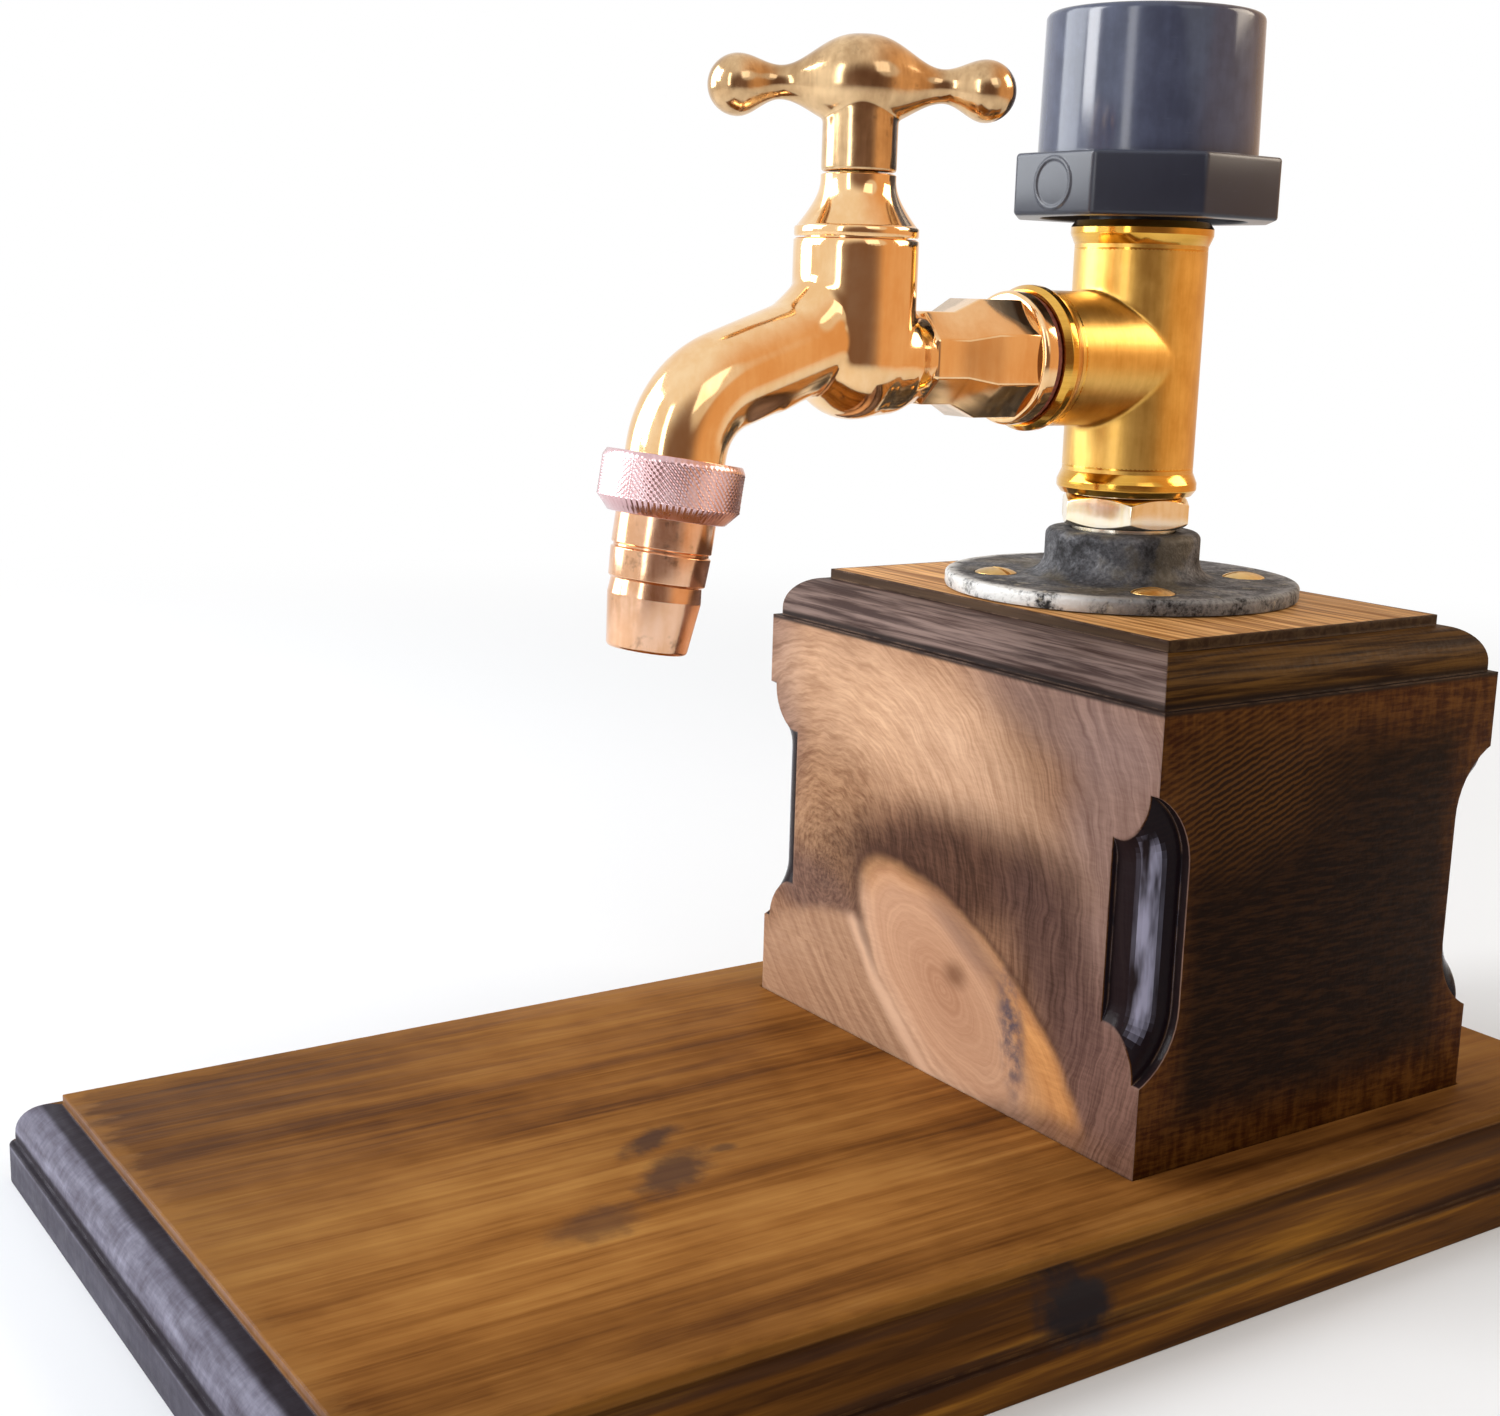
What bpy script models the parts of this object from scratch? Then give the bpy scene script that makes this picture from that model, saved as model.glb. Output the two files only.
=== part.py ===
"""Whisky dispenser: pipe fittings hold an inverted bottle over a bib tap, on a moulded wooden stand.

Metres, +Z up. The origin is the centre of the board's underside. The tap and its spout point to -Y,
and the tap's long fittings rise from the block near the board's rear end.
"""
import math

import bmesh
import bpy
from mathutils import Matrix, Vector

# Driving dimensions
# Board
BOARD_WIDTH = 0.162
BOARD_LENGTH = 0.285
BOARD_THICK = 0.018
BOARD_CORNER = 0.003

# Block, the shallow housing in the board that it stands in, and its way from the board's front edge
BLOCK_WIDTH = 0.1165
BLOCK_DEPTH = 0.089
BLOCK_HEIGHT = 0.095
BLOCK_SETBACK = 0.158
HOUSING_DEPTH = 0.001

# Router bit that cut the board's edge, the block's top edge and the corner beads
BIT_TOP_DROP = 0.0020
BIT_FLAT = 0.0004
BIT_RADIUS = 0.0068
BIT_LOW_DROP = 0.0016
BIT_LEDGE = 0.0014
BIT_BEARING = 0.00635
BEAD_LOW = 0.0310
BEAD_HIGH = 0.0565

# Clearances
GAP = 0.0003
OVERRUN = 0.0020

# Wood screws under the board, and the brass screws in the flange
BOARD_SCREW_HEAD = 0.0090
BOARD_SCREW_SHANK = 0.0042
BOARD_SCREW_LENGTH = 0.0400
BOARD_SCREW_SINK = 0.0005
BOARD_SCREW_INSET = 0.0200
FLANGE_SCREW_HEAD = 0.0084
FLANGE_SCREW_SHANK = 0.0036
FLANGE_SCREW_LENGTH = 0.0170
FLANGE_SCREW_DOME = 0.0010
FLANGE_SCREW_CIRCLE = 0.0508
FLANGE_SCREW_TURN = math.radians(60)
SCREW_COUNT = 4
DOME_SHARE = 0.6
DOME_LEVEL_SHARE = 0.7
SLOT_WIDTH = 0.0010
SLOT_DEPTH = 0.0012
SCREW_TIP = 0.0030

# Floor flange
FLANGE_DIAMETER = 0.0704
FLANGE_THICK = 0.0030
FLANGE_EDGE = 0.0008
HUB_DIAMETER = 0.0308
HUB_HEIGHT = 0.0122
HUB_FLARE = 0.0040
HUB_CHAMFER = 0.0014

# Pipe thread that joins the fittings
THREAD_DIAMETER = 0.0206
THREAD_LENGTH = 0.0110
THREAD_CHAMFER = 0.0010
WATERWAY = 0.0150

# Hex nipple
NIPPLE_ACROSS = 0.0238
NIPPLE_HEX_HEIGHT = 0.0062
NIPPLE_NECK = 0.0008
NIPPLE_BEVEL = 0.0009
NIPPLE_TURN = math.radians(21.3)
NIPPLE_END_WALL = 0.0040

# Tee
TEE_HEIGHT = 0.0527
TEE_DIAMETER = 0.0258
TEE_BRANCH_DIAMETER = 0.0256
TEE_BRANCH_WATERWAY = 0.0140
TEE_BRANCH_REACH = 0.0298
TEE_BAND_DIAMETER = 0.0276
TEE_BAND = 0.0044
TEE_ROUND = 0.0010
TEE_GROOVE = 0.0004

# Bottle socket
COLLAR_ACROSS = 0.0494
COLLAR_HEIGHT = 0.0116
COLLAR_BEVEL = 0.0006
COLLAR_TURN = math.radians(1.9)
SOCKET_LOW_DIAMETER = 0.0421
SOCKET_TOP_DIAMETER = 0.0413
SOCKET_HEIGHT = 0.0266
SOCKET_ROUND = 0.0012
SOCKET_BORE = 0.0330
SOCKET_DEPTH = 0.0290
SOCKET_FUNNEL = 0.0050
SEAL_THICK = 0.0025
SEAL_BORE = 0.0190

# Tap body: barrel over a globe, with an octagonal inlet
TAP_REACH = 0.0694
BARREL_DIAMETER = 0.0223
BARREL_HEIGHT = 0.0205
INLET_SEAL_THICK = 0.0009
INLET_SEAL_DIAMETER = 0.0244
INLET_COLLAR_DIAMETER = 0.0250
INLET_COLLAR = 0.0029
INLET_COLLAR_ROUND = 0.0012
SPANNER_ACROSS = 0.0216
SPANNER_LENGTH = 0.0098
SPANNER_TAPER = 0.0050
INLET_NECK_ACROSS = 0.0167
INLET_BORE = 0.0110

# Water passages in the tap, with levels over the inlet's axis
CHAMBER_DIAMETER = 0.0170
CHAMBER_FLOOR = 0.0005
SEAT_LIP = 0.0008
SEAT_DIAMETER = 0.0130
SEAT_HOLE = 0.0100
PARTITION = 0.0042
GLOBE_WALL = 0.0032
RISER_DIAMETER = 0.0060
RISER_DROP = 0.0045
OUTLET_DIAMETER = 0.0088
OUTLET_LEVEL = 0.0060
OUTLET_REACH = 0.0098
BONNET_THREAD_DIAMETER = 0.0185
BONNET_THREAD_LENGTH = 0.0090

# Spout, from the barrel to the middle of the hose nut
SPOUT_ROOT_REACH = 0.0056
SPOUT_ROOT_LEVEL = 0.0036
SPOUT_DIAMETER = 0.0174
SPOUT_BORE = 0.0104
SPOUT_BORE_START = 0.0042
SPOUT_FALL = math.radians(20)
SPOUT_BEND = 0.0150
HOSE_REACH = 0.0375
HOSE_DROP = 0.02225
HOSE_TILT = math.radians(8.8)
HOSE_THREAD_DIAMETER = 0.0206
HOSE_THREAD_LENGTH = 0.0048

# Bonnet, packing and gland
BONNET_FLANGE = 0.0221
BONNET_FLANGE_HEIGHT = 0.0016
BONNET_SHOULDER = 0.0050
BONNET_NECK = 0.0133
BONNET_NECK_HEIGHT = 0.0316
PACKING_DIAMETER = 0.0098
PACKING_HEIGHT = 0.0032
GLAND_HEIGHT = 0.0014

# Spindle and valve
SPINDLE_DIAMETER = 0.0070
SPINDLE_THREAD_DIAMETER = 0.0098
SPINDLE_THREAD_LENGTH = 0.0125
SPINDLE_LEAD = 0.0025
SPINDLE_TURNS = 1.5
JUMPER_DIAMETER = 0.0134
JUMPER_THICK = 0.0023
JUMPER_STEM = 0.0043
JUMPER_STEM_LENGTH = 0.0060
VALVE_WASHER_DIAMETER = 0.0130
VALVE_WASHER_THICK = 0.0025
VALVE_NUT_ACROSS = 0.0072
VALVE_NUT_THICK = 0.0018
VALVE_PIN = 0.0030

# Handle
HANDLE_LEVEL = 0.0473
HANDLE_BOSS_HEIGHT = 0.0160
HANDLE_BOSS_WIDTH = 0.0152
HANDLE_BOSS_FULLNESS = 1.25
HANDLE_WAIST = 0.0077
HANDLE_WAIST_REACH = 0.0142
HANDLE_WAIST_DROP = 0.0011
HANDLE_BALL = 0.0107
HANDLE_BALL_REACH = 0.0216
HANDLE_TURN = math.radians(-34)
HANDLE_HUB = 0.0133
HANDLE_SOCKET_ROOF = 0.0040
GRUB_DIAMETER = 0.0030
GRUB_LENGTH = 0.0024
GRUB_LEVEL = 0.0045
GRUB_KEY = 0.0013
GRUB_KEY_DEPTH = 0.0009
GRUB_DIRECTION = math.radians(135)

# Hose nut, washer and barb, measured from the nut's middle
NUT_DIAMETER = 0.0248
NUT_HEIGHT = 0.0104
NUT_CHAMFER = 0.0009
NUT_CHAMFER_HEIGHT = 0.0012
NUT_TAPER = 0.0024
NUT_TAPER_HEIGHT = 0.0025
NUT_LIP = 0.0018
KNURL_COUNT = 36
KNURL_DEPTH = 0.0004
HOSE_WASHER_THICK = 0.0012
HOSE_WASHER_BORE = 0.0124
BARB_COLLAR_THICK = 0.0015
BARB_BORE = 0.0100
BARB_NECK_DIAMETER = 0.0174
BARB_GROOVE_REACH = 0.0108
BARB_GROOVE = 0.0004
BARB_STEP_REACH = 0.0160
BARB_STEP_DIAMETER = 0.0168
BARB_UNDERCUT_DIAMETER = 0.0158
BARB_SWELL_REACH = 0.0190
BARB_SWELL_DIAMETER = 0.0163
BARB_END_REACH = 0.0282
BARB_END_DIAMETER = 0.0140
BARB_END_ROUND = 0.0008

# Facet counts
ROUND = 32
SMALL_ROUND = 20
TINY_ROUND = 12
ARC_STEPS = 4
BEAD_STEPS = 7
HEX_SIDES = 6
OCTAGON_SIDES = 8
SMOOTH_ANGLE = math.radians(32)

# Levels and places that follow from the sizes above
BIT_CUT = BIT_FLAT + BIT_RADIUS + BIT_LEDGE
BIT_DEPTH = BIT_TOP_DROP + BIT_RADIUS + BIT_LOW_DROP
BLOCK_BASE = BOARD_THICK - HOUSING_DEPTH + GAP
BLOCK_TOP = BLOCK_BASE + BLOCK_HEIGHT
STACK_Y = BLOCK_SETBACK + BLOCK_DEPTH / 2 - BOARD_LENGTH / 2
FLANGE_BASE = BLOCK_TOP + GAP
FLANGE_TOP = FLANGE_BASE + FLANGE_THICK
HUB_TOP = FLANGE_BASE + HUB_HEIGHT
THREAD_BORE = THREAD_DIAMETER + GAP + GAP
NIPPLE_HEX_BASE = HUB_TOP + NIPPLE_NECK
TEE_BASE = NIPPLE_HEX_BASE + NIPPLE_HEX_HEIGHT + GAP
TEE_TOP = TEE_BASE + TEE_HEIGHT
BRANCH_LEVEL = TEE_BASE + TEE_HEIGHT / 2
COLLAR_BASE = TEE_TOP + GAP
COLLAR_TOP = COLLAR_BASE + COLLAR_HEIGHT
SOCKET_TOP = COLLAR_TOP + SOCKET_HEIGHT
SOCKET_SEAT = SOCKET_TOP - SOCKET_DEPTH
TAP_Y = STACK_Y - TAP_REACH
SEAT_TOP = CHAMBER_FLOOR + SEAT_LIP
PARTITION_UNDERSIDE = CHAMBER_FLOOR - PARTITION
BONNET_THREAD_BORE = BONNET_THREAD_DIAMETER + GAP + GAP
BONNET_BASE = BARREL_HEIGHT + GAP
VALVE_LIFT = SPINDLE_LEAD * SPINDLE_TURNS


def arc(centre, radius, start, end, steps=ARC_STEPS):
    """Points of an arc in a plane, with both ends, for angles in degrees."""
    points = []
    for step in range(steps + 1):
        angle = math.radians(start + (end - start) * step / steps)
        points.append((centre[0] + radius * math.cos(angle), centre[1] + radius * math.sin(angle)))
    return points


def circle(radius, level, sides=ROUND, turn=0.0):
    """A level ring of points round the Z axis, or one point where the radius is zero."""
    if radius == 0:
        return [Vector((0, 0, level))]
    angles = [turn + math.tau * side / sides for side in range(sides)]
    return [Vector((radius * math.cos(a), radius * math.sin(a), level)) for a in angles]


def polygon(across_flats, level, sides, turn):
    """A level ring of a regular polygon's corners."""
    return circle(across_flats / 2 / math.cos(math.pi / sides), level, sides, turn)


def join_rings(shape, lower, upper):
    """Faces between two rings, either of which may be a single point."""
    count = max(len(lower), len(upper))
    for side in range(count):
        after = (side + 1) % count
        if len(lower) == 1:
            corners = (lower[0], upper[after], upper[side])
        elif len(upper) == 1:
            corners = (lower[side], lower[after], upper[0])
        else:
            corners = (lower[side], lower[after], upper[after], upper[side])
        shape.faces.new(corners)


def skin(rings, loop=False):
    """One closed body through the rings: capped at its ends, or joined last to first."""
    shape = bmesh.new()
    rows = [[shape.verts.new(point) for point in ring] for ring in rings]
    for lower, upper in zip(rows, rows[1:]):
        join_rings(shape, lower, upper)
    if loop:
        join_rings(shape, rows[-1], rows[0])
    for row in (rows[0], rows[-1]):
        if len(row) > 1 and not loop:
            shape.faces.new(row)
    bmesh.ops.recalc_face_normals(shape, faces=shape.faces)
    return shape


def turned(profile, sides=ROUND, loop=False):
    """A body turned round the Z axis from (radius, level) points."""
    return skin([circle(radius, level, sides) for radius, level in profile], loop)


def add(name, shape, material=None, place=(0, 0, 0), rotation=(0, 0, 0), parent=None):
    """Make an object of a shape, shaded smooth up to the sharp angle."""
    mesh = bpy.data.meshes.new(name)
    shape.to_mesh(mesh)
    shape.free()
    mesh.shade_smooth()
    mesh.set_sharp_from_angle(angle=SMOOTH_ANGLE)
    thing = bpy.data.objects.new(name, mesh)
    bpy.context.collection.objects.link(thing)
    thing.location = place
    thing.rotation_euler = rotation
    thing.parent = parent
    if material:
        mesh.materials.append(material)
    return thing


def add_axis(name, place, tilt=0.0):
    """An empty on a joint's axis."""
    axis = bpy.data.objects.new(name, None)
    bpy.context.collection.objects.link(axis)
    axis.location = place
    axis.rotation_euler = (tilt, 0, 0)
    return axis


def boolean(thing, operation, tool):
    """Cut a tool from a thing or join it on, and hide the tool."""
    modifier = thing.modifiers.new(tool.name, "BOOLEAN")
    modifier.operation = operation
    modifier.object = tool
    modifier.solver = "EXACT"
    tool.hide_render = True
    tool.display_type = "WIRE"


def cut(thing, *tools):
    for tool in tools:
        boolean(thing, "DIFFERENCE", tool)


def join(thing, *tools):
    for tool in tools:
        boolean(thing, "UNION", tool)


def finish(name, colour, metallic, roughness):
    """A plain surface material."""
    material = bpy.data.materials.new(name)
    material.use_nodes = True
    surface = material.node_tree.nodes["Principled BSDF"]
    surface.inputs["Base Color"].default_value = (*colour, 1)
    surface.inputs["Metallic"].default_value = metallic
    surface.inputs["Roughness"].default_value = roughness
    material.diffuse_color = (*colour, 1)
    return material


def bit_profile():
    """The router bit's cut, as (inset, depth) points from the top surface down to the ledge."""
    points = [(BIT_CUT, 0), (BIT_CUT, BIT_TOP_DROP)]
    centre = (BIT_LEDGE + BIT_RADIUS, BIT_TOP_DROP + BIT_RADIUS)
    points += arc(centre, BIT_RADIUS, 270, 180)
    points.append((BIT_LEDGE, BIT_DEPTH))
    return points


def rectangle(width, length, level, corner):
    """A level ring of a rectangle, with rounded corners where the corner radius is not zero."""
    points = []
    for quarter, (x_side, y_side) in enumerate(((1, 1), (-1, 1), (-1, -1), (1, -1))):
        centre = (x_side * (width / 2 - corner), y_side * (length / 2 - corner))
        if corner == 0:
            points.append(Vector((*centre, level)))
        else:
            start = quarter * 90
            points += [Vector((x, y, level)) for x, y in arc(centre, corner, start, start + 90)]
    return points


def moulded_slab(width, length, height, corner=0.0):
    """A slab whose top edge was routed all round, with upright corners rounded below the ledge."""
    upper = [(inset, height - depth) for inset, depth in reversed(bit_profile())]
    rings = [rectangle(width - 2 * inset, length - 2 * inset, level, 0) for inset, level in upper]
    low = [rectangle(width, length, level, 0) for level in (0, height - BIT_DEPTH)]
    slab = skin(low + rings)
    if corner:
        edges = [edge for edge in slab.edges if is_upright_below(edge, height - BIT_DEPTH)]
        bmesh.ops.bevel(slab, geom=edges, offset=corner, segments=ARC_STEPS, profile=0.5, affect="EDGES")
        bmesh.ops.recalc_face_normals(slab, faces=slab.faces)
    return slab


def is_upright_below(edge, level):
    """Whether an edge is upright and has its top no higher than a level."""
    first, last = (corner.co for corner in edge.verts)
    upright = (first - last).xy.length < GAP
    return upright and max(first.z, last.z) < level + GAP


def bead_cutter(x_side, y_side):
    """The bit's path down one upright corner, with its axis along X and its bearing on the Y face."""
    axis_y = y_side * (BLOCK_DEPTH / 2 + BIT_BEARING)
    stations = [(BIT_CUT, -OVERRUN)] + bit_profile()[1:]
    rings = []
    for inset, depth in stations:
        radius = BIT_BEARING + inset
        outline = arc((axis_y, BEAD_HIGH), radius, 0, 180, BEAD_STEPS)
        outline += arc((axis_y, BEAD_LOW), radius, 180, 360, BEAD_STEPS)
        x = x_side * (BLOCK_WIDTH / 2 - depth)
        rings.append([Vector((x, y, level)) for y, level in outline])
    return skin(rings)


def screw_profile(head, shank, length, dome, clearance=0.0):
    """A countersunk wood screw below level zero, or its hole where a clearance is given."""
    head_radius = head / 2 + clearance
    shank_radius = shank / 2 + clearance
    cone = head_radius - shank_radius
    tip = length + clearance
    profile = [(0, dome), (head_radius * DOME_SHARE, dome * DOME_LEVEL_SHARE)] if dome else [(0, 0)]
    if clearance:
        profile = [(0, OVERRUN), (head_radius, OVERRUN)]
    profile += [(head_radius, 0), (shank_radius, -cone), (shank_radius, SCREW_TIP - tip), (0, -tip)]
    return profile


def add_screw(name, head, shank, length, dome, material, place, rotation, slot_turn):
    """A slotted wood screw, and the cutter of its hole."""
    shape = turned(screw_profile(head, shank, length, dome), TINY_ROUND)
    screw = add(name, shape, material, place, rotation)
    slot = bmesh.new()
    slot_size = Matrix.Diagonal((head + OVERRUN, SLOT_WIDTH, 2 * SLOT_DEPTH, 1))
    bmesh.ops.create_cube(slot, size=1, matrix=slot_size)
    bmesh.ops.translate(slot, verts=slot.verts, vec=(0, 0, dome))
    slot_rotation = (rotation[0], rotation[1], slot_turn)
    cut(screw, add(name + "_slot", slot, None, place, slot_rotation))
    hole = turned(screw_profile(head, shank, length, dome, GAP), TINY_ROUND)
    return add(name + "_hole", hole, None, place, rotation)


def add_stand(looks):
    """Board, block, floor flange and the screws that hold them."""
    board_shape = moulded_slab(BOARD_WIDTH, BOARD_LENGTH, BOARD_THICK, BOARD_CORNER)
    board = add("base_board", board_shape, looks["board"])
    housing = [
        rectangle(BLOCK_WIDTH + 2 * GAP, BLOCK_DEPTH + 2 * GAP, level, 0)
        for level in (BOARD_THICK - HOUSING_DEPTH, BOARD_THICK + OVERRUN)
    ]
    cut(board, add("block_housing", skin(housing), None, (0, STACK_Y, 0)))
    block_shape = moulded_slab(BLOCK_WIDTH, BLOCK_DEPTH, BLOCK_HEIGHT)
    block = add("block", block_shape, looks["block"], (0, STACK_Y, BLOCK_BASE))
    flange = add_flange(looks)
    for x_side in (-1, 1):
        for y_side in (-1, 1):
            name = "bead_" + ("right" if x_side > 0 else "left") + ("_rear" if y_side > 0 else "_front")
            cut(block, add(name, bead_cutter(x_side, y_side), None, (0, STACK_Y, BLOCK_BASE)))
    number = 0
    for x_side in (-1, 1):
        for y_side in (-1, 1):
            number += 1
            x = x_side * (BLOCK_WIDTH / 2 - BOARD_SCREW_INSET)
            y = STACK_Y + y_side * (BLOCK_DEPTH / 2 - BOARD_SCREW_INSET)
            hole = add_screw(
                f"board_screw_{number}", BOARD_SCREW_HEAD, BOARD_SCREW_SHANK, BOARD_SCREW_LENGTH, 0,
                looks["steel"], (x, y, BOARD_SCREW_SINK), (math.pi, 0, 0), FLANGE_SCREW_TURN * number)
            cut(board, hole)
            cut(block, hole)
    for number in range(SCREW_COUNT):
        angle = FLANGE_SCREW_TURN + math.tau * number / SCREW_COUNT
        x = FLANGE_SCREW_CIRCLE / 2 * math.cos(angle)
        y = STACK_Y + FLANGE_SCREW_CIRCLE / 2 * math.sin(angle)
        hole = add_screw(
            f"flange_screw_{number + 1}", FLANGE_SCREW_HEAD, FLANGE_SCREW_SHANK, FLANGE_SCREW_LENGTH,
            FLANGE_SCREW_DOME, looks["brass"], (x, y, FLANGE_TOP), (0, 0, 0), angle * (number + 1))
        cut(flange, hole)
        cut(block, hole)


def add_flange(looks):
    """Iron floor flange with a flared hub and a threaded bore."""
    radius = FLANGE_DIAMETER / 2
    hub = HUB_DIAMETER / 2
    bore = THREAD_BORE / 2
    flare_centre = (hub + HUB_FLARE, FLANGE_THICK + HUB_FLARE)
    profile = [(bore, 0), (radius, 0), (radius, FLANGE_THICK - FLANGE_EDGE)]
    profile.append((radius - FLANGE_EDGE, FLANGE_THICK))
    profile += arc(flare_centre, HUB_FLARE, 270, 180)
    profile += [(hub, HUB_HEIGHT - HUB_CHAMFER), (hub - HUB_CHAMFER, HUB_HEIGHT), (bore, HUB_HEIGHT)]
    return add("floor_flange", turned(profile, loop=True), looks["iron"], (0, STACK_Y, FLANGE_BASE))


def threaded_end(level, direction):
    """A male thread's outline from its free end to the level of its shoulder."""
    radius = THREAD_DIAMETER / 2
    end = level + direction * THREAD_LENGTH
    return [(radius - THREAD_CHAMFER, end), (radius, end - direction * THREAD_CHAMFER), (radius, level)]


def add_nipple(looks):
    """Hex nipple: blind from above, so that nothing runs down in the flange."""
    hex_top = NIPPLE_HEX_BASE + NIPPLE_HEX_HEIGHT
    profile = [(0, HUB_TOP - THREAD_LENGTH)] + threaded_end(HUB_TOP, -1) + threaded_end(hex_top, 1)[::-1]
    profile.append((0, hex_top + THREAD_LENGTH))
    nipple = add("hex_nipple", turned(profile), looks["nickel"], (0, STACK_Y, 0))
    inset = NIPPLE_ACROSS - 2 * NIPPLE_BEVEL
    rings = [
        polygon(inset, NIPPLE_HEX_BASE, HEX_SIDES, NIPPLE_TURN),
        polygon(NIPPLE_ACROSS, NIPPLE_HEX_BASE + NIPPLE_BEVEL, HEX_SIDES, NIPPLE_TURN),
        polygon(NIPPLE_ACROSS, hex_top - NIPPLE_BEVEL, HEX_SIDES, NIPPLE_TURN),
        polygon(inset, hex_top, HEX_SIDES, NIPPLE_TURN),
    ]
    join(nipple, add("nipple_hex", skin(rings), None, (0, STACK_Y, 0)))
    bore_top = hex_top + THREAD_LENGTH - NIPPLE_END_WALL
    bore = [(0, HUB_TOP - THREAD_LENGTH - OVERRUN), (WATERWAY / 2, HUB_TOP - THREAD_LENGTH - OVERRUN)]
    bore += [(WATERWAY / 2, bore_top), (0, bore_top)]
    cut(nipple, add("nipple_bore", turned(bore), None, (0, STACK_Y, 0)))


def banded_end(radius, level, direction):
    """A tee's end: a groove, then a wider band with a rounded outer edge, up to the end face."""
    band_start = level - direction * TEE_BAND
    band_radius = radius + (TEE_BAND_DIAMETER - TEE_DIAMETER) / 2
    start = band_start - direction * TEE_GROOVE
    return [
        (radius, start - direction * TEE_GROOVE),
        (radius - TEE_GROOVE, start),
        (radius, band_start),
        (band_radius, level - direction * 2 * TEE_ROUND),
        (band_radius, level - direction * TEE_ROUND),
        (band_radius - TEE_ROUND, level),
    ]


def add_tee(looks):
    """Brass tee: an upright run with a branch toward -Y, threaded inside at its three ends."""
    half = TEE_HEIGHT / 2
    run = [(0, -half)] + banded_end(TEE_DIAMETER / 2, -half, -1)[::-1]
    run += banded_end(TEE_DIAMETER / 2, half, 1) + [(0, half)]
    centre = (0, STACK_Y, BRANCH_LEVEL)
    tee = add("tee_body", turned(run), looks["tee"], centre)
    branch = [(0, 0), (TEE_BRANCH_DIAMETER / 2, 0)]
    branch += banded_end(TEE_BRANCH_DIAMETER / 2, TEE_BRANCH_REACH, 1) + [(0, TEE_BRANCH_REACH)]
    toward_tap = (math.pi / 2, 0, 0)
    join(tee, add("tee_branch", turned(branch), None, centre, toward_tap))
    bore = THREAD_BORE / 2
    deep = THREAD_LENGTH + GAP + GAP
    run_bore = [(0, -half - OVERRUN), (bore, -half - OVERRUN)]
    run_bore += [(bore, deep - half), (WATERWAY / 2, deep - half)]
    run_bore += [(radius, -level) for radius, level in reversed(run_bore)]
    cut(tee, add("tee_run_bore", turned(run_bore), None, centre))
    end = TEE_BRANCH_REACH
    narrow = TEE_BRANCH_WATERWAY / 2
    branch_bore = [(0, 0), (narrow, 0), (narrow, end - deep), (bore, end - deep)]
    branch_bore += [(bore, end + OVERRUN), (0, end + OVERRUN)]
    cut(tee, add("tee_branch_bore", turned(branch_bore), None, centre, toward_tap))


def add_socket(looks):
    """Plastic bottle socket on an octagonal collar, and the rubber seal at its seat."""
    top = SOCKET_TOP - COLLAR_BASE
    collar_top = COLLAR_TOP - COLLAR_BASE
    low = SOCKET_LOW_DIAMETER / 2
    high = SOCKET_TOP_DIAMETER / 2
    body = [(0, -THREAD_LENGTH)] + threaded_end(0, -1) + [(THREAD_DIAMETER / 2, collar_top / 2)]
    body += [(low, collar_top / 2), (low, collar_top)]
    body += arc((high - SOCKET_ROUND, top - SOCKET_ROUND), SOCKET_ROUND, 0, 90) + [(0, top)]
    place = (0, STACK_Y, COLLAR_BASE)
    socket = add("bottle_socket", turned(body), looks["plastic"], place)
    turn = COLLAR_TURN + math.pi / OCTAGON_SIDES
    inset = COLLAR_ACROSS - 2 * COLLAR_BEVEL
    collar = [
        polygon(inset, 0, OCTAGON_SIDES, turn),
        polygon(COLLAR_ACROSS, COLLAR_BEVEL, OCTAGON_SIDES, turn),
        polygon(COLLAR_ACROSS, collar_top - COLLAR_BEVEL, OCTAGON_SIDES, turn),
        polygon(inset, collar_top, OCTAGON_SIDES, turn),
    ]
    join(socket, add("socket_collar", skin(collar), None, place))
    seat = SOCKET_SEAT - COLLAR_BASE
    wide = SOCKET_BORE / 2
    bore = [(0, -THREAD_LENGTH - OVERRUN), (WATERWAY / 2, -THREAD_LENGTH - OVERRUN)]
    bore += [(WATERWAY / 2, seat - SOCKET_FUNNEL), (SEAL_BORE / 2, seat), (wide, seat)]
    bore += [(wide, top + OVERRUN), (0, top + OVERRUN)]
    cut(socket, add("socket_bore", turned(bore), None, place))
    seal = [(SEAL_BORE / 2, 0), (wide - GAP, 0), (wide - GAP, SEAL_THICK), (SEAL_BORE / 2, SEAL_THICK)]
    add("socket_seal", turned(seal, loop=True), looks["rubber"], (0, STACK_Y, SOCKET_SEAT + GAP))


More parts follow.
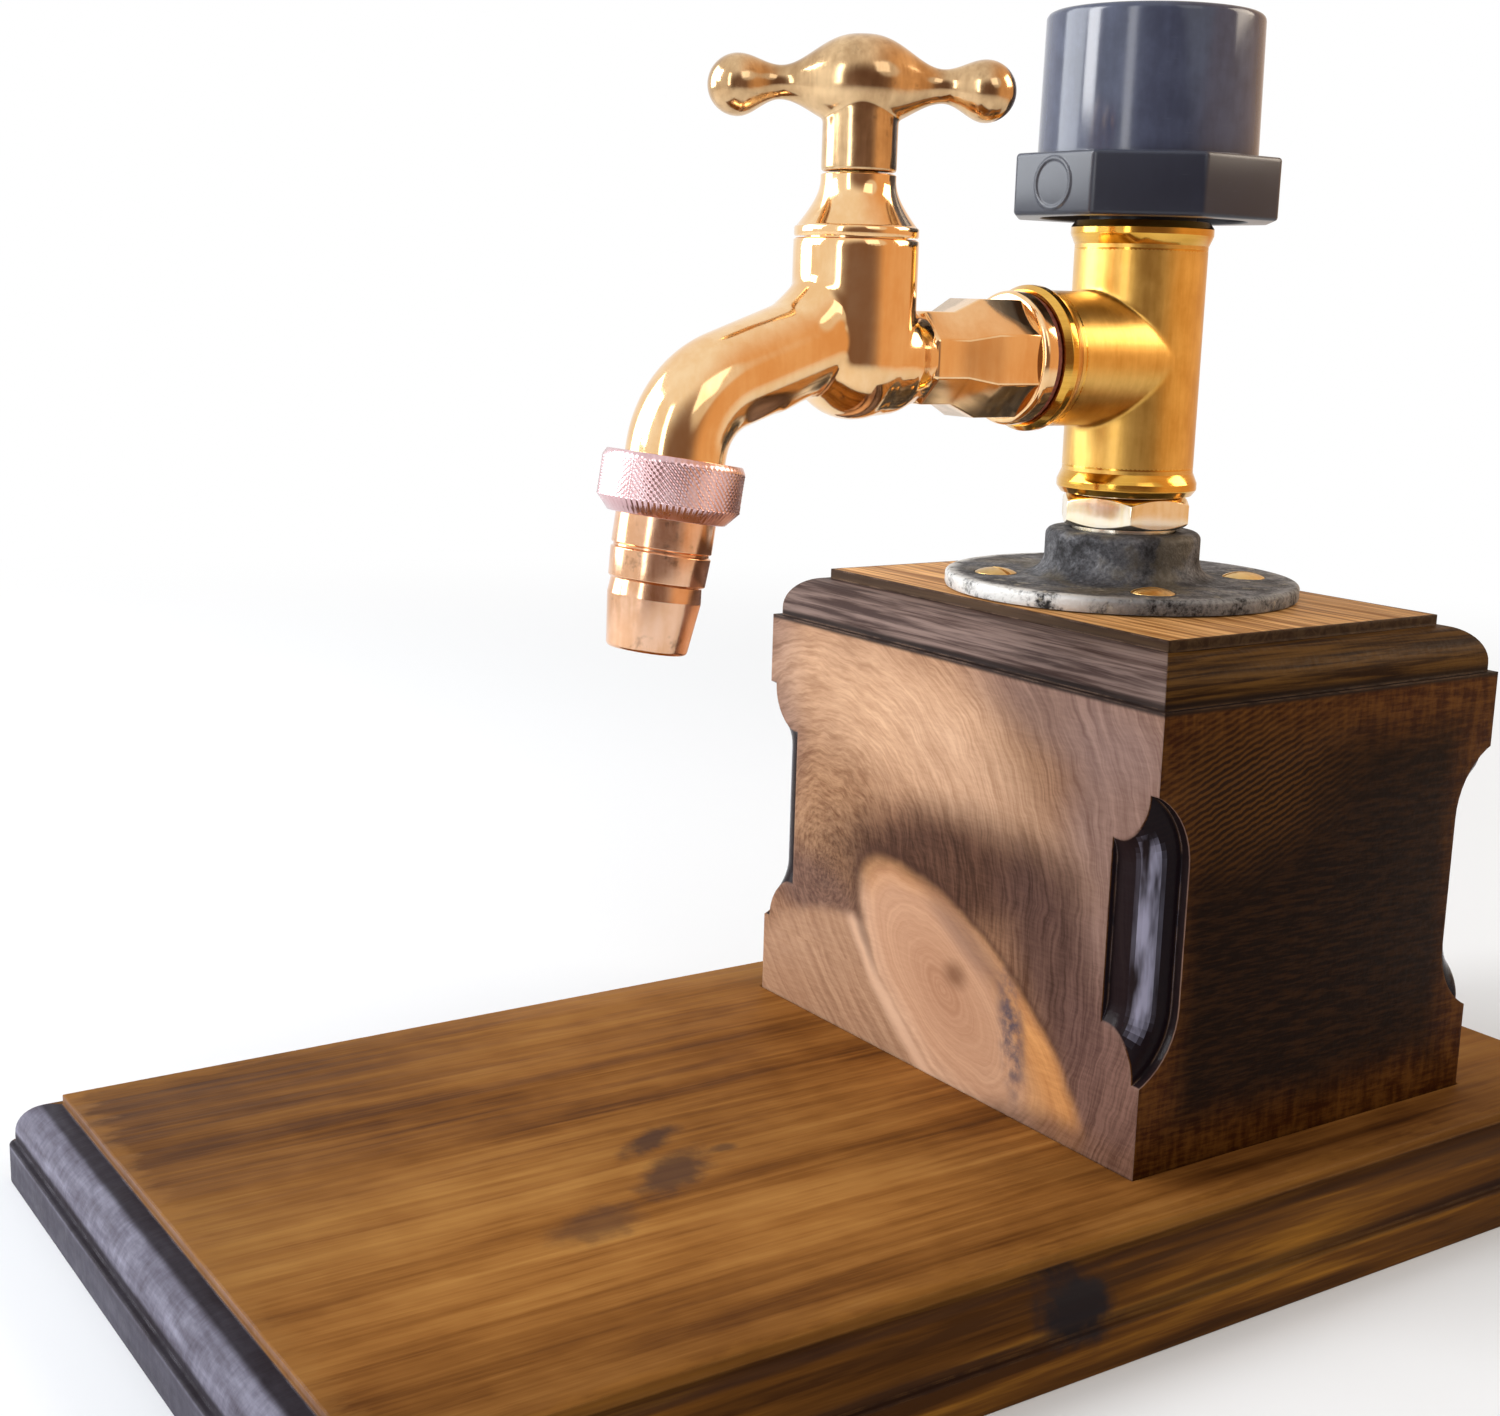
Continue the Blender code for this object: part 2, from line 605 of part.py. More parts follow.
def spout_path(start_before=0.0, end_beyond=0.0):
    """Centre line of the spout in the tap's YZ plane, with its tangents: straight, bent, straight."""
    fall = Vector((0, -math.cos(SPOUT_FALL), -math.sin(SPOUT_FALL)))
    down = Vector((0, -math.sin(HOSE_TILT), -math.cos(HOSE_TILT)))
    root = Vector((0, -SPOUT_ROOT_REACH, SPOUT_ROOT_LEVEL))
    end = Vector((0, -HOSE_REACH, -HOSE_DROP))
    way = end - root
    along = (way.y * down.z - way.z * down.y) / (fall.y * down.z - fall.z * down.y)
    corner = root + fall * along
    bend = fall.angle(down)
    tangent = SPOUT_BEND * math.tan(bend / 2)
    bend_start = corner - fall * tangent
    inward = Vector((0, fall.z, -fall.y))
    centre = bend_start - inward * SPOUT_BEND
    points = [(root - fall * start_before, fall)]
    for step in range(2 * ARC_STEPS + 1):
        turn = Matrix.Rotation(bend * step / (2 * ARC_STEPS), 3, "X")
        points.append((centre + turn @ (inward * SPOUT_BEND), turn @ fall))
    points.append((end + down * end_beyond, down))
    return points


def swept(path, radius, sides=SMALL_ROUND):
    """A round bar along a path in the YZ plane."""
    rings = []
    for point, tangent in path:
        across = Vector((1, 0, 0))
        upward = across.cross(tangent)
        angles = [math.tau * side / sides for side in range(sides)]
        rings.append([point + radius * (math.cos(a) * across + math.sin(a) * upward) for a in angles])
    return skin(rings)


def add_tap_inlet(body, tap_axis):
    """Collar, spanner octagon, neck and thread that join the tap to the tee's branch."""
    reach = TAP_REACH - TEE_BRANCH_REACH - INLET_SEAL_THICK - 2 * GAP
    collar_radius = INLET_COLLAR_DIAMETER / 2
    face = reach - INLET_COLLAR
    collar = [(0, reach)]
    collar += [(THREAD_DIAMETER / 2, reach), (collar_radius, reach)]
    round_centre = (collar_radius - INLET_COLLAR_ROUND, face + INLET_COLLAR_ROUND)
    collar += arc(round_centre, INLET_COLLAR_ROUND, 0, -90)
    collar.append((0, face))
    toward_tee = (-math.pi / 2, 0, 0)
    join(body, add("inlet_collar", turned(collar), None, (0, 0, 0), toward_tee, tap_axis))
    turn = math.pi / OCTAGON_SIDES
    neck_start = face - SPANNER_LENGTH - SPANNER_TAPER
    octagon = [
        polygon(INLET_NECK_ACROSS, 0, OCTAGON_SIDES, turn),
        polygon(INLET_NECK_ACROSS, neck_start, OCTAGON_SIDES, turn),
        polygon(SPANNER_ACROSS, face - SPANNER_LENGTH, OCTAGON_SIDES, turn),
        polygon(SPANNER_ACROSS, face + INLET_COLLAR_ROUND, OCTAGON_SIDES, turn),
    ]
    join(body, add("inlet_octagon", skin(octagon), None, (0, 0, 0), toward_tee, tap_axis))
    threads = [(0, face + INLET_COLLAR_ROUND), (THREAD_DIAMETER / 2, face + INLET_COLLAR_ROUND)]
    threads += threaded_end(reach, 1)[::-1] + [(0, reach + THREAD_LENGTH)]
    join(body, add("inlet_thread", turned(threads), None, (0, 0, 0), toward_tee, tap_axis))
    elbow = neck_start / 2 + INLET_BORE / 2
    bore = [(0, elbow), (INLET_BORE / 2, elbow)]
    bore += [(INLET_BORE / 2, reach + THREAD_LENGTH + OVERRUN), (0, reach + THREAD_LENGTH + OVERRUN)]
    cut(body, add("inlet_bore", turned(bore, SMALL_ROUND), None, (0, 0, 0), toward_tee, tap_axis))
    riser_end = Vector((0, SEAT_HOLE / 2, -RISER_DROP))
    riser_start = Vector((0, elbow + INLET_BORE / 2, 0))
    slope = (riser_end - riser_start).normalized()
    path = [(riser_start, slope), (riser_end, slope)]
    cut(body, add("inlet_riser", swept(path, RISER_DIAMETER / 2, TINY_ROUND), None, parent=tap_axis))


def add_tap_body(looks, tap_axis):
    """Cast tap body: globe and barrel, inlet, spout and its hose thread, with their passages."""
    radius = BARREL_DIAMETER / 2
    outside = arc((0, 0), radius, -90, 0, 2 * ARC_STEPS)
    outside[0] = (0, -radius)
    outside += [(radius, BARREL_HEIGHT - TEE_GROOVE), (radius - TEE_GROOVE, BARREL_HEIGHT)]
    outside.append((0, BARREL_HEIGHT))
    body = add("tap_body", turned(outside), looks["tap"], parent=tap_axis)
    tube = swept(spout_path(0, -HOSE_THREAD_LENGTH), SPOUT_DIAMETER / 2)
    join(body, add("spout_tube", tube, parent=tap_axis))
    add_tap_inlet(body, tap_axis)
    hose = add_axis("spout_end", (0, -HOSE_REACH, -HOSE_DROP), -HOSE_TILT)
    hose.parent = tap_axis
    wide = HOSE_THREAD_DIAMETER / 2
    length = HOSE_THREAD_LENGTH
    threads = [(0, 0), (wide - TEE_GROOVE, 0), (wide, TEE_GROOVE)]
    threads += [(wide, length - THREAD_CHAMFER), (wide - THREAD_CHAMFER, length), (0, length)]
    join(body, add("hose_thread", turned(threads), parent=hose))
    chamber = CHAMBER_DIAMETER / 2
    hollow = radius - GLOBE_WALL
    opening = math.degrees(math.asin(PARTITION_UNDERSIDE / hollow))
    threads_floor = BARREL_HEIGHT - BONNET_THREAD_LENGTH
    inside = [(0, BARREL_HEIGHT + OVERRUN), (BONNET_THREAD_BORE / 2, BARREL_HEIGHT + OVERRUN)]
    inside += [(BONNET_THREAD_BORE / 2, threads_floor), (chamber, threads_floor), (chamber, CHAMBER_FLOOR)]
    inside += [(SEAT_DIAMETER / 2, CHAMBER_FLOOR), (SEAT_DIAMETER / 2, SEAT_TOP), (SEAT_HOLE / 2, SEAT_TOP)]
    inside.append((SEAT_HOLE / 2, PARTITION_UNDERSIDE))
    inside += arc((0, 0), hollow, opening, -90)[:-1] + [(0, -hollow)]
    cut(body, add("tap_chambers", turned(inside), parent=tap_axis))
    outlet = [Vector((0, 0, OUTLET_LEVEL)), Vector((0, -OUTLET_REACH, OUTLET_LEVEL))]
    outlet_path = [(point, Vector((0, -1, 0))) for point in outlet]
    cut(body, add("spout_outlet", swept(outlet_path, OUTLET_DIAMETER / 2), parent=tap_axis))
    passage = swept(spout_path(-SPOUT_BORE_START, OVERRUN), SPOUT_BORE / 2)
    cut(body, add("spout_passage", passage, parent=tap_axis))


def add_bonnet(looks, tap_axis):
    """Bonnet on the barrel, with the packing and the gland bush in its neck."""
    thread = BONNET_THREAD_DIAMETER / 2
    neck = BONNET_NECK / 2
    wide = BONNET_FLANGE / 2
    base = BARREL_HEIGHT - BONNET_THREAD_LENGTH + GAP
    flange_top = BONNET_BASE + BONNET_FLANGE_HEIGHT
    slope = wide - TEE_GROOVE - neck
    shoulder = []
    for step in range(2 * ARC_STEPS + 1):
        share = step / (2 * ARC_STEPS)
        radius = neck + slope * (0.5 + 0.5 * math.cos(math.pi * share))
        shoulder.append((radius, flange_top + BONNET_SHOULDER * share))
    recess = PACKING_DIAMETER / 2 + GAP
    recess_floor = BONNET_NECK_HEIGHT - GLAND_HEIGHT - PACKING_HEIGHT - 2 * GAP
    spindle_hole = SPINDLE_DIAMETER / 2 + GAP
    thread_hole = SPINDLE_THREAD_DIAMETER / 2 + GAP
    thread_roof = spindle_levels()[1] + VALVE_LIFT + GAP
    profile = [(thread_hole, base), (thread, base), (thread, BONNET_BASE)]
    profile += [(wide - TEE_GROOVE, BONNET_BASE), (wide, BONNET_BASE + TEE_GROOVE), (wide, flange_top)]
    profile += shoulder + [(neck, BONNET_NECK_HEIGHT), (recess, BONNET_NECK_HEIGHT), (recess, recess_floor)]
    profile += [(spindle_hole, recess_floor), (spindle_hole, thread_roof), (thread_hole, thread_roof)]
    add("bonnet", turned(profile, loop=True), looks["tap"], parent=tap_axis)
    packing_base = recess_floor + GAP
    packing_top = packing_base + PACKING_HEIGHT
    wide = PACKING_DIAMETER / 2
    add_ring("packing_ring", spindle_hole, wide, packing_base, packing_top, looks["fibre"], tap_axis)
    gland_base = packing_top + GAP
    gland_top = gland_base + GLAND_HEIGHT
    add_ring("gland_bush", spindle_hole, wide, gland_base, gland_top, looks["brass"], tap_axis)


def add_ring(name, inner, outer, low, high, material, parent, sides=SMALL_ROUND):
    """A plain ring between two radii and two levels."""
    profile = [(inner, low), (outer, low), (outer, high), (inner, high)]
    return add(name, turned(profile, sides, loop=True), material, parent=parent)


def valve_levels():
    """Undersides of the valve's nut, washer and jumper, over the inlet's axis."""
    washer = SEAT_TOP + GAP
    nut = washer - GAP - VALVE_NUT_THICK
    jumper = washer + VALVE_WASHER_THICK + GAP
    return nut, washer, jumper


def spindle_levels():
    """Levels of the spindle's lower end, the top of its thread and its upper end."""
    base = valve_levels()[2] + JUMPER_THICK + GAP
    top = HANDLE_LEVEL + HANDLE_BOSS_HEIGHT / 2 - HANDLE_SOCKET_ROOF - GAP
    return base, base + SPINDLE_THREAD_LENGTH, top


def add_valve(looks, tap_axis):
    """Jumper with its rubber washer and nut, which the spindle lifts off the seat."""
    nut_base, washer_base, jumper_base = valve_levels()
    jumper_top = jumper_base + JUMPER_THICK
    pin = VALVE_PIN / 2
    wide = JUMPER_DIAMETER / 2
    stem = JUMPER_STEM / 2
    stem_top = jumper_top + JUMPER_STEM_LENGTH
    profile = [(0, nut_base), (pin, nut_base), (pin, jumper_base), (wide, jumper_base), (wide, jumper_top)]
    profile += [(stem, jumper_top), (stem, stem_top), (0, stem_top)]
    add("jumper_valve", turned(profile, SMALL_ROUND), looks["brass"], parent=tap_axis)
    hole = pin + GAP
    washer_top = washer_base + VALVE_WASHER_THICK
    washer_radius = VALVE_WASHER_DIAMETER / 2
    add_ring("valve_washer", hole, washer_radius, washer_base, washer_top, looks["rubber"], tap_axis)
    nut_top = nut_base + VALVE_NUT_THICK
    nut = skin([polygon(VALVE_NUT_ACROSS, level, HEX_SIDES, 0) for level in (nut_base, nut_top)])
    valve_nut = add("valve_nut", nut, looks["brass"], parent=tap_axis)
    nut_hole = skin([circle(hole, level, TINY_ROUND) for level in (nut_base - OVERRUN, nut_top + OVERRUN)])
    cut(valve_nut, add("valve_nut_hole", nut_hole, parent=tap_axis))


def add_spindle(looks, tap_axis):
    """Threaded spindle, hollow at its foot for the jumper's stem."""
    base, thread_top, top = spindle_levels()
    hole = JUMPER_STEM / 2 + GAP
    hole_top = base - GAP + JUMPER_STEM_LENGTH + GAP + GAP
    thread = SPINDLE_THREAD_DIAMETER / 2
    shaft = SPINDLE_DIAMETER / 2
    profile = [(0, hole_top), (hole, hole_top), (hole, base), (thread, base), (thread, thread_top)]
    profile += [(shaft, thread_top), (shaft, top), (0, top)]
    add("spindle", turned(profile, SMALL_ROUND), looks["brass"], parent=tap_axis)


def handle_section(reach):
    """Half width, half height and middle level of the handle's bar at a distance from its axis."""
    ball = HANDLE_BALL / 2
    waist = HANDLE_WAIST / 2
    waist_level = HANDLE_LEVEL - HANDLE_WAIST_DROP
    if reach >= HANDLE_BALL_REACH:
        radius = math.sqrt(max(ball ** 2 - (reach - HANDLE_BALL_REACH) ** 2, 0))
        return radius, radius, waist_level
    if reach >= HANDLE_WAIST_REACH:
        share = (reach - HANDLE_WAIST_REACH) / (HANDLE_BALL_REACH - HANDLE_WAIST_REACH)
        radius = waist + (ball - waist) * (0.5 - 0.5 * math.cos(math.pi * share))
        return radius, radius, waist_level
    share = (reach / HANDLE_WAIST_REACH) ** HANDLE_BOSS_FULLNESS
    boss = 0.5 + 0.5 * math.cos(math.pi * share)
    half_width = waist + (HANDLE_BOSS_WIDTH / 2 - waist) * boss
    half_height = waist + (HANDLE_BOSS_HEIGHT / 2 - waist) * boss
    return half_width, half_height, waist_level + HANDLE_WAIST_DROP * boss


def handle_reaches():
    """Distances from the axis at which the bar's sections stand, outward."""
    ball_end = HANDLE_BALL_REACH + HANDLE_BALL / 2
    middle = [HANDLE_WAIST_REACH * step / (2 * ARC_STEPS) for step in range(2 * ARC_STEPS)]
    span = HANDLE_BALL_REACH - HANDLE_WAIST_REACH
    neck = [HANDLE_WAIST_REACH + span * step / ARC_STEPS for step in range(ARC_STEPS)]
    turns = [math.pi / 2 * step / ARC_STEPS for step in range(ARC_STEPS)]
    ball = [HANDLE_BALL_REACH + HANDLE_BALL / 2 * math.sin(turn) for turn in turns]
    return middle + neck + ball + [ball_end]


def add_handle(looks, tap_axis):
    """T-handle with ball ends, its hub over the spindle, and the grub screw that holds it."""
    outward = handle_reaches()
    rings = []
    for reach in [-value for value in reversed(outward[1:])] + outward:
        half_width, half_height, level = handle_section(abs(reach))
        if abs(reach) == outward[-1]:
            rings.append([Vector((0, reach, level))])
            continue
        ring = circle(1, 0, SMALL_ROUND)
        rings.append([Vector((half_width * p.x, reach, level + half_height * p.y)) for p in ring])
    turn = (0, 0, HANDLE_TURN)
    handle = add("handle", skin(rings), looks["tap"], rotation=turn, parent=tap_axis)
    hub = HANDLE_HUB / 2
    base = BONNET_NECK_HEIGHT + GAP
    edge = TEE_GROOVE
    hub_profile = [(0, base), (hub - edge, base), (hub, base + edge)]
    hub_profile += [(hub, HANDLE_LEVEL), (0, HANDLE_LEVEL)]
    join(handle, add("handle_hub", turned(hub_profile), parent=tap_axis))
    bore = SPINDLE_DIAMETER / 2 + GAP
    roof = spindle_levels()[2] + GAP
    bore_profile = [(0, base - OVERRUN), (bore, base - OVERRUN), (bore, roof), (0, roof)]
    cut(handle, add("handle_bore", turned(bore_profile, SMALL_ROUND), parent=tap_axis))
    grub_axis = add_axis("grub_axis", (0, 0, base + GRUB_LEVEL))
    grub_axis.rotation_euler = (0, math.pi / 2, GRUB_DIRECTION)
    grub_axis.parent = tap_axis
    radius = GRUB_DIAMETER / 2
    hole = [(0, 0), (radius + GAP, 0), (radius + GAP, hub + OVERRUN), (0, hub + OVERRUN)]
    cut(handle, add("grub_hole", turned(hole, TINY_ROUND), parent=grub_axis))
    start = SPINDLE_DIAMETER / 2 + GAP
    end = start + GRUB_LENGTH
    key = GRUB_KEY / 2
    key_floor = end - GRUB_KEY_DEPTH
    grub = [(0, start), (radius, start), (radius, end), (key, end), (key, key_floor), (0, key_floor)]
    add("handle_grub_screw", turned(grub, TINY_ROUND), looks["steel"], parent=grub_axis)


def knurled_ring(radius, level, knurl):
    """A ring with a ridge between each two grooves of the knurl."""
    sides = 2 * KNURL_COUNT
    ring = []
    for side, point in enumerate(circle(radius, level, sides)):
        depth = knurl if side % 2 else 0
        share = (radius - depth) / radius
        ring.append(Vector((point.x * share, point.y * share, level)))
    return ring


def add_hose_end(looks, hose_axis):
    """Knurled union nut, rubber washer and hose barb, on the spout's tilted end."""
    half = NUT_HEIGHT / 2
    wide = NUT_DIAMETER / 2
    thread = HOSE_THREAD_DIAMETER / 2 + GAP
    collar_radius = HOSE_THREAD_DIAMETER / 2
    hole = BARB_NECK_DIAMETER / 2 + GAP
    lip_top = NUT_LIP - half
    rings = [
        knurled_ring(hole, -half, 0),
        knurled_ring(wide - NUT_TAPER, -half, 0),
        knurled_ring(wide, NUT_TAPER_HEIGHT - half, KNURL_DEPTH),
        knurled_ring(wide, half - NUT_CHAMFER_HEIGHT, KNURL_DEPTH),
        knurled_ring(wide - NUT_CHAMFER, half, 0),
        knurled_ring(thread, half, 0),
        knurled_ring(thread, lip_top, 0),
        knurled_ring(hole, lip_top, 0),
    ]
    add("hose_nut", skin(rings, loop=True), looks["nut"], parent=hose_axis)
    collar_base = lip_top + GAP
    collar_top = collar_base + BARB_COLLAR_THICK
    washer_base = collar_top + GAP
    washer_top = washer_base + HOSE_WASHER_THICK
    washer_bore = HOSE_WASHER_BORE / 2
    add_ring("hose_washer", washer_bore, collar_radius, washer_base, washer_top, looks["rubber"], hose_axis)
    neck = BARB_NECK_DIAMETER / 2
    step = BARB_STEP_DIAMETER / 2
    end = BARB_END_DIAMETER / 2
    bore = BARB_BORE / 2
    outside = [(bore, collar_top), (collar_radius, collar_top)]
    outside += [(collar_radius, collar_base), (neck, collar_base)]
    outside += [(neck, BARB_GROOVE - BARB_GROOVE_REACH), (neck - BARB_GROOVE, -BARB_GROOVE_REACH)]
    outside += [(neck, -BARB_GROOVE_REACH - BARB_GROOVE), (step, -BARB_STEP_REACH)]
    outside += [(BARB_UNDERCUT_DIAMETER / 2, -BARB_STEP_REACH - BARB_GROOVE)]
    outside += [(BARB_SWELL_DIAMETER / 2, -BARB_SWELL_REACH)]
    outside += [(end, BARB_END_ROUND - BARB_END_REACH), (end - BARB_END_ROUND, -BARB_END_REACH)]
    outside.append((bore, -BARB_END_REACH))
    add("hose_barb", turned(outside, loop=True), looks["tap"], parent=hose_axis)


def make_finishes():
    """Plain finishes in the photographed colours."""
    return {
        "board": finish("board_wood", (0.20, 0.09, 0.04), 0.0, 0.35),
        "block": finish("block_wood", (0.26, 0.12, 0.06), 0.0, 0.40),
        "iron": finish("dark_iron", (0.10, 0.09, 0.10), 0.8, 0.55),
        "steel": finish("screw_steel", (0.50, 0.50, 0.50), 1.0, 0.40),
        "brass": finish("screw_brass", (0.70, 0.50, 0.22), 1.0, 0.35),
        "nickel": finish("nickel_brass", (0.72, 0.68, 0.58), 1.0, 0.25),
        "tee": finish("satin_brass", (0.78, 0.52, 0.18), 1.0, 0.32),
        "tap": finish("polished_copper_gold", (0.85, 0.55, 0.36), 1.0, 0.12),
        "nut": finish("pink_knurl", (0.80, 0.62, 0.58), 1.0, 0.30),
        "plastic": finish("slate_plastic", (0.07, 0.08, 0.12), 0.0, 0.35),
        "rubber": finish("black_rubber", (0.02, 0.02, 0.02), 0.0, 0.70),
        "fibre": finish("red_fibre", (0.35, 0.08, 0.05), 0.0, 0.70),
    }


def build():
    """Clear the scene and build the dispenser."""
    for thing in list(bpy.data.objects):
        bpy.data.objects.remove(thing, do_unlink=True)
    looks = make_finishes()
    add_stand(looks)
    add_nipple(looks)
    add_tee(looks)
    add_socket(looks)
    tap_axis = add_axis("tap_axis", (0, TAP_Y, BRANCH_LEVEL))
    add_tap_body(looks, tap_axis)
    add_bonnet(looks, tap_axis)
    add_valve(looks, tap_axis)
    add_spindle(looks, tap_axis)
    add_handle(looks, tap_axis)
    hose_axis = add_axis("hose_axis", (0, TAP_Y - HOSE_REACH, BRANCH_LEVEL - HOSE_DROP), -HOSE_TILT)
    add_hose_end(looks, hose_axis)
    seal_base = TEE_BRANCH_REACH + GAP
    seal = [(THREAD_BORE / 2, seal_base), (INLET_SEAL_DIAMETER / 2, seal_base)]
    seal += [(radius, seal_base + INLET_SEAL_THICK) for radius, level in reversed(seal)]
    place = (0, STACK_Y, BRANCH_LEVEL)
    add("inlet_seal", turned(seal, loop=True), looks["fibre"], place, (math.pi / 2, 0, 0))


build()
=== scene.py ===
"""Looks of the whisky dispenser: finer pieces, materials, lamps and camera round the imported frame."""
import math

import bmesh
import bpy
from mathutils import Matrix, Vector


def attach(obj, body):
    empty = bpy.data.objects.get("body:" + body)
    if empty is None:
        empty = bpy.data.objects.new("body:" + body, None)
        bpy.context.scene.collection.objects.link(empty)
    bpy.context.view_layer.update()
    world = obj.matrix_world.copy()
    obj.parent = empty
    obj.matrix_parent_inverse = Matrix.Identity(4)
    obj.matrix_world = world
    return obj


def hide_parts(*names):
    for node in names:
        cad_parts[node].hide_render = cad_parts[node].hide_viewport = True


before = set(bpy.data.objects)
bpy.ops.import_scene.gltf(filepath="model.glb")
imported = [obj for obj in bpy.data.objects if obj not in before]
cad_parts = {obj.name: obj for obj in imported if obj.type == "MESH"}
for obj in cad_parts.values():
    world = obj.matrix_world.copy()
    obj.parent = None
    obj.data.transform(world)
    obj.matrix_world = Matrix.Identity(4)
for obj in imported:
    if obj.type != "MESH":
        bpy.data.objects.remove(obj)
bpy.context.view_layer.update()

# Places and sizes that the frame's nodes have, in metres
STACK_Y = 0.060
TAP_Y = -0.0094
BLOCK_WIDTH, BLOCK_DEPTH = 0.1165, 0.089
BLOCK_BASE, BLOCK_TOP = 0.0173, 0.1123
BOARD_WIDTH, BOARD_LENGTH, BOARD_THICK = 0.162, 0.285, 0.018
HOUSING_DEPTH = 0.001
FLANGE_BASE = 0.1126
BRANCH_LEVEL = 0.15845
TEE_BASE, TEE_TOP = 0.1321, 0.1848
COLLAR_BASE, COLLAR_TOP = 0.1851, 0.1967
SOCKET_TOP = 0.2233
HOSE_REACH, HOSE_DROP, HOSE_TILT = 0.0375, 0.02225, math.radians(8.8)
GAP = 0.0003
OVERRUN = 0.002

TAP_PLACE = Matrix.Translation((0, TAP_Y, BRANCH_LEVEL))
STACK_PLACE = Matrix.Translation((0, STACK_Y, 0))
TOWARD_TAP = Matrix.Rotation(math.pi / 2, 4, "X")
TOWARD_TEE = Matrix.Rotation(-math.pi / 2, 4, "X")
HOSE_PLACE = TAP_PLACE @ Matrix.Translation((0, -HOSE_REACH, -HOSE_DROP)) @ Matrix.Rotation(-HOSE_TILT, 4, "X")
ROUND = 96
MM = 0.001


class Graph:
    """A material's nodes, made with short calls that return sockets."""

    def __init__(self, name, tree=None):
        self.coords = None
        if tree:
            self.tree = tree
            tree.nodes.clear()
            return
        self.material = bpy.data.materials.new(name)
        self.material.use_nodes = True
        self.tree = self.material.node_tree
        self.surface = self.tree.nodes["Principled BSDF"]

    def node(self, kind, **settings):
        made = self.tree.nodes.new("ShaderNode" + kind)
        for key, value in settings.items():
            setattr(made, key, value)
        return made

    def feed(self, socket, value):
        if isinstance(value, bpy.types.NodeSocket):
            self.tree.links.new(value, socket)
        elif value is not None:
            socket.default_value = value

    def here(self):
        if self.coords is None:
            self.coords = self.node("TexCoord").outputs["Object"]
        return self.coords

    def mapped(self, scale=(1, 1, 1), turn=(0, 0, 0), shift=(0, 0, 0), vector=None):
        made = self.node("Mapping")
        self.feed(made.inputs["Vector"], vector or self.here())
        made.inputs["Scale"].default_value = scale
        made.inputs["Rotation"].default_value = turn
        made.inputs["Location"].default_value = shift
        return made.outputs[0]

    def noise(self, vector=None, scale=1.0, detail=3.0, rough=0.55, warp=0.0):
        made = self.node("TexNoise")
        self.feed(made.inputs["Vector"], vector or self.here())
        self.feed(made.inputs["Scale"], scale)
        self.feed(made.inputs["Detail"], detail)
        self.feed(made.inputs["Roughness"], rough)
        self.feed(made.inputs["Distortion"], warp)
        return made.outputs["Fac"]

    def cells(self, vector=None, scale=1.0, feature="F1"):
        made = self.node("TexVoronoi", feature=feature)
        self.feed(made.inputs["Vector"], vector or self.here())
        self.feed(made.inputs["Scale"], scale)
        return made.outputs["Distance"]

    def maths(self, operation, a, b=0.0, c=None, clamp=False):
        made = self.node("Math", operation=operation, use_clamp=clamp)
        self.feed(made.inputs[0], a)
        self.feed(made.inputs[1], b)
        self.feed(made.inputs[2], c)
        return made.outputs[0]

    def vector(self, operation, a, b=None):
        made = self.node("VectorMath", operation=operation)
        self.feed(made.inputs[0], a)
        self.feed(made.inputs[1], b)
        return made.outputs["Value" if operation in ("LENGTH", "DOT_PRODUCT", "DISTANCE") else "Vector"]

    def axes(self, vector=None):
        made = self.node("SeparateXYZ")
        self.feed(made.inputs[0], vector or self.here())
        return made.outputs

    def span(self, value, low, high, start=0.0, end=1.0, smooth=True):
        made = self.node("MapRange", interpolation_type="SMOOTHSTEP" if smooth else "LINEAR")
        for name, number in zip(("Value", "From Min", "From Max", "To Min", "To Max"), (value, low, high, start, end)):
            self.feed(made.inputs[name], number)
        return made.outputs[0]

    def ramp(self, value, *stops):
        made = self.node("ValToRGB")
        line = made.color_ramp
        while len(line.elements) < len(stops):
            line.elements.new(1.0)
        for element, (place, colour) in zip(line.elements, stops):
            element.position = place
            element.color = (*colour, 1)
        self.feed(made.inputs[0], value)
        return made.outputs[0]

    def grey(self, value):
        made = self.node("CombineColor")
        for channel in made.inputs:
            self.feed(channel, value)
        return made.outputs[0]

    def mix(self, share, a, b, blend="MIX"):
        made = self.node("Mix", data_type="RGBA", blend_type=blend)
        self.feed(made.inputs[0], share)
        self.feed(made.inputs[6], (*a, 1) if isinstance(a, tuple) else a)
        self.feed(made.inputs[7], (*b, 1) if isinstance(b, tuple) else b)
        return made.outputs[2]

    def blob(self, centre, radii, soft=0.35, warp=None, turn=0.0, plane="xz"):
        """A soft-edged ellipse on a face, 1 inside and 0 outside; the warp shifts its edge."""
        x, y, z = self.axes()
        across, upward = {"xz": (x, z), "yz": (y, z), "xy": (x, y)}[plane]
        u = self.maths("SUBTRACT", across, centre[0])
        v = self.maths("SUBTRACT", upward, centre[1])
        cos, sin = math.cos(turn), math.sin(turn)
        along = self.maths("MULTIPLY_ADD", u, cos / radii[0], self.maths("MULTIPLY", v, sin / radii[0]))
        aside = self.maths("MULTIPLY_ADD", v, cos / radii[1], self.maths("MULTIPLY", u, -sin / radii[1]))
        far = self.maths("SQRT", self.maths("MULTIPLY_ADD", along, along, self.maths("MULTIPLY", aside, aside)))
        if warp is not None:
            far = self.maths("ADD", far, warp)
        return self.span(far, 1 + soft, 1 - soft), far

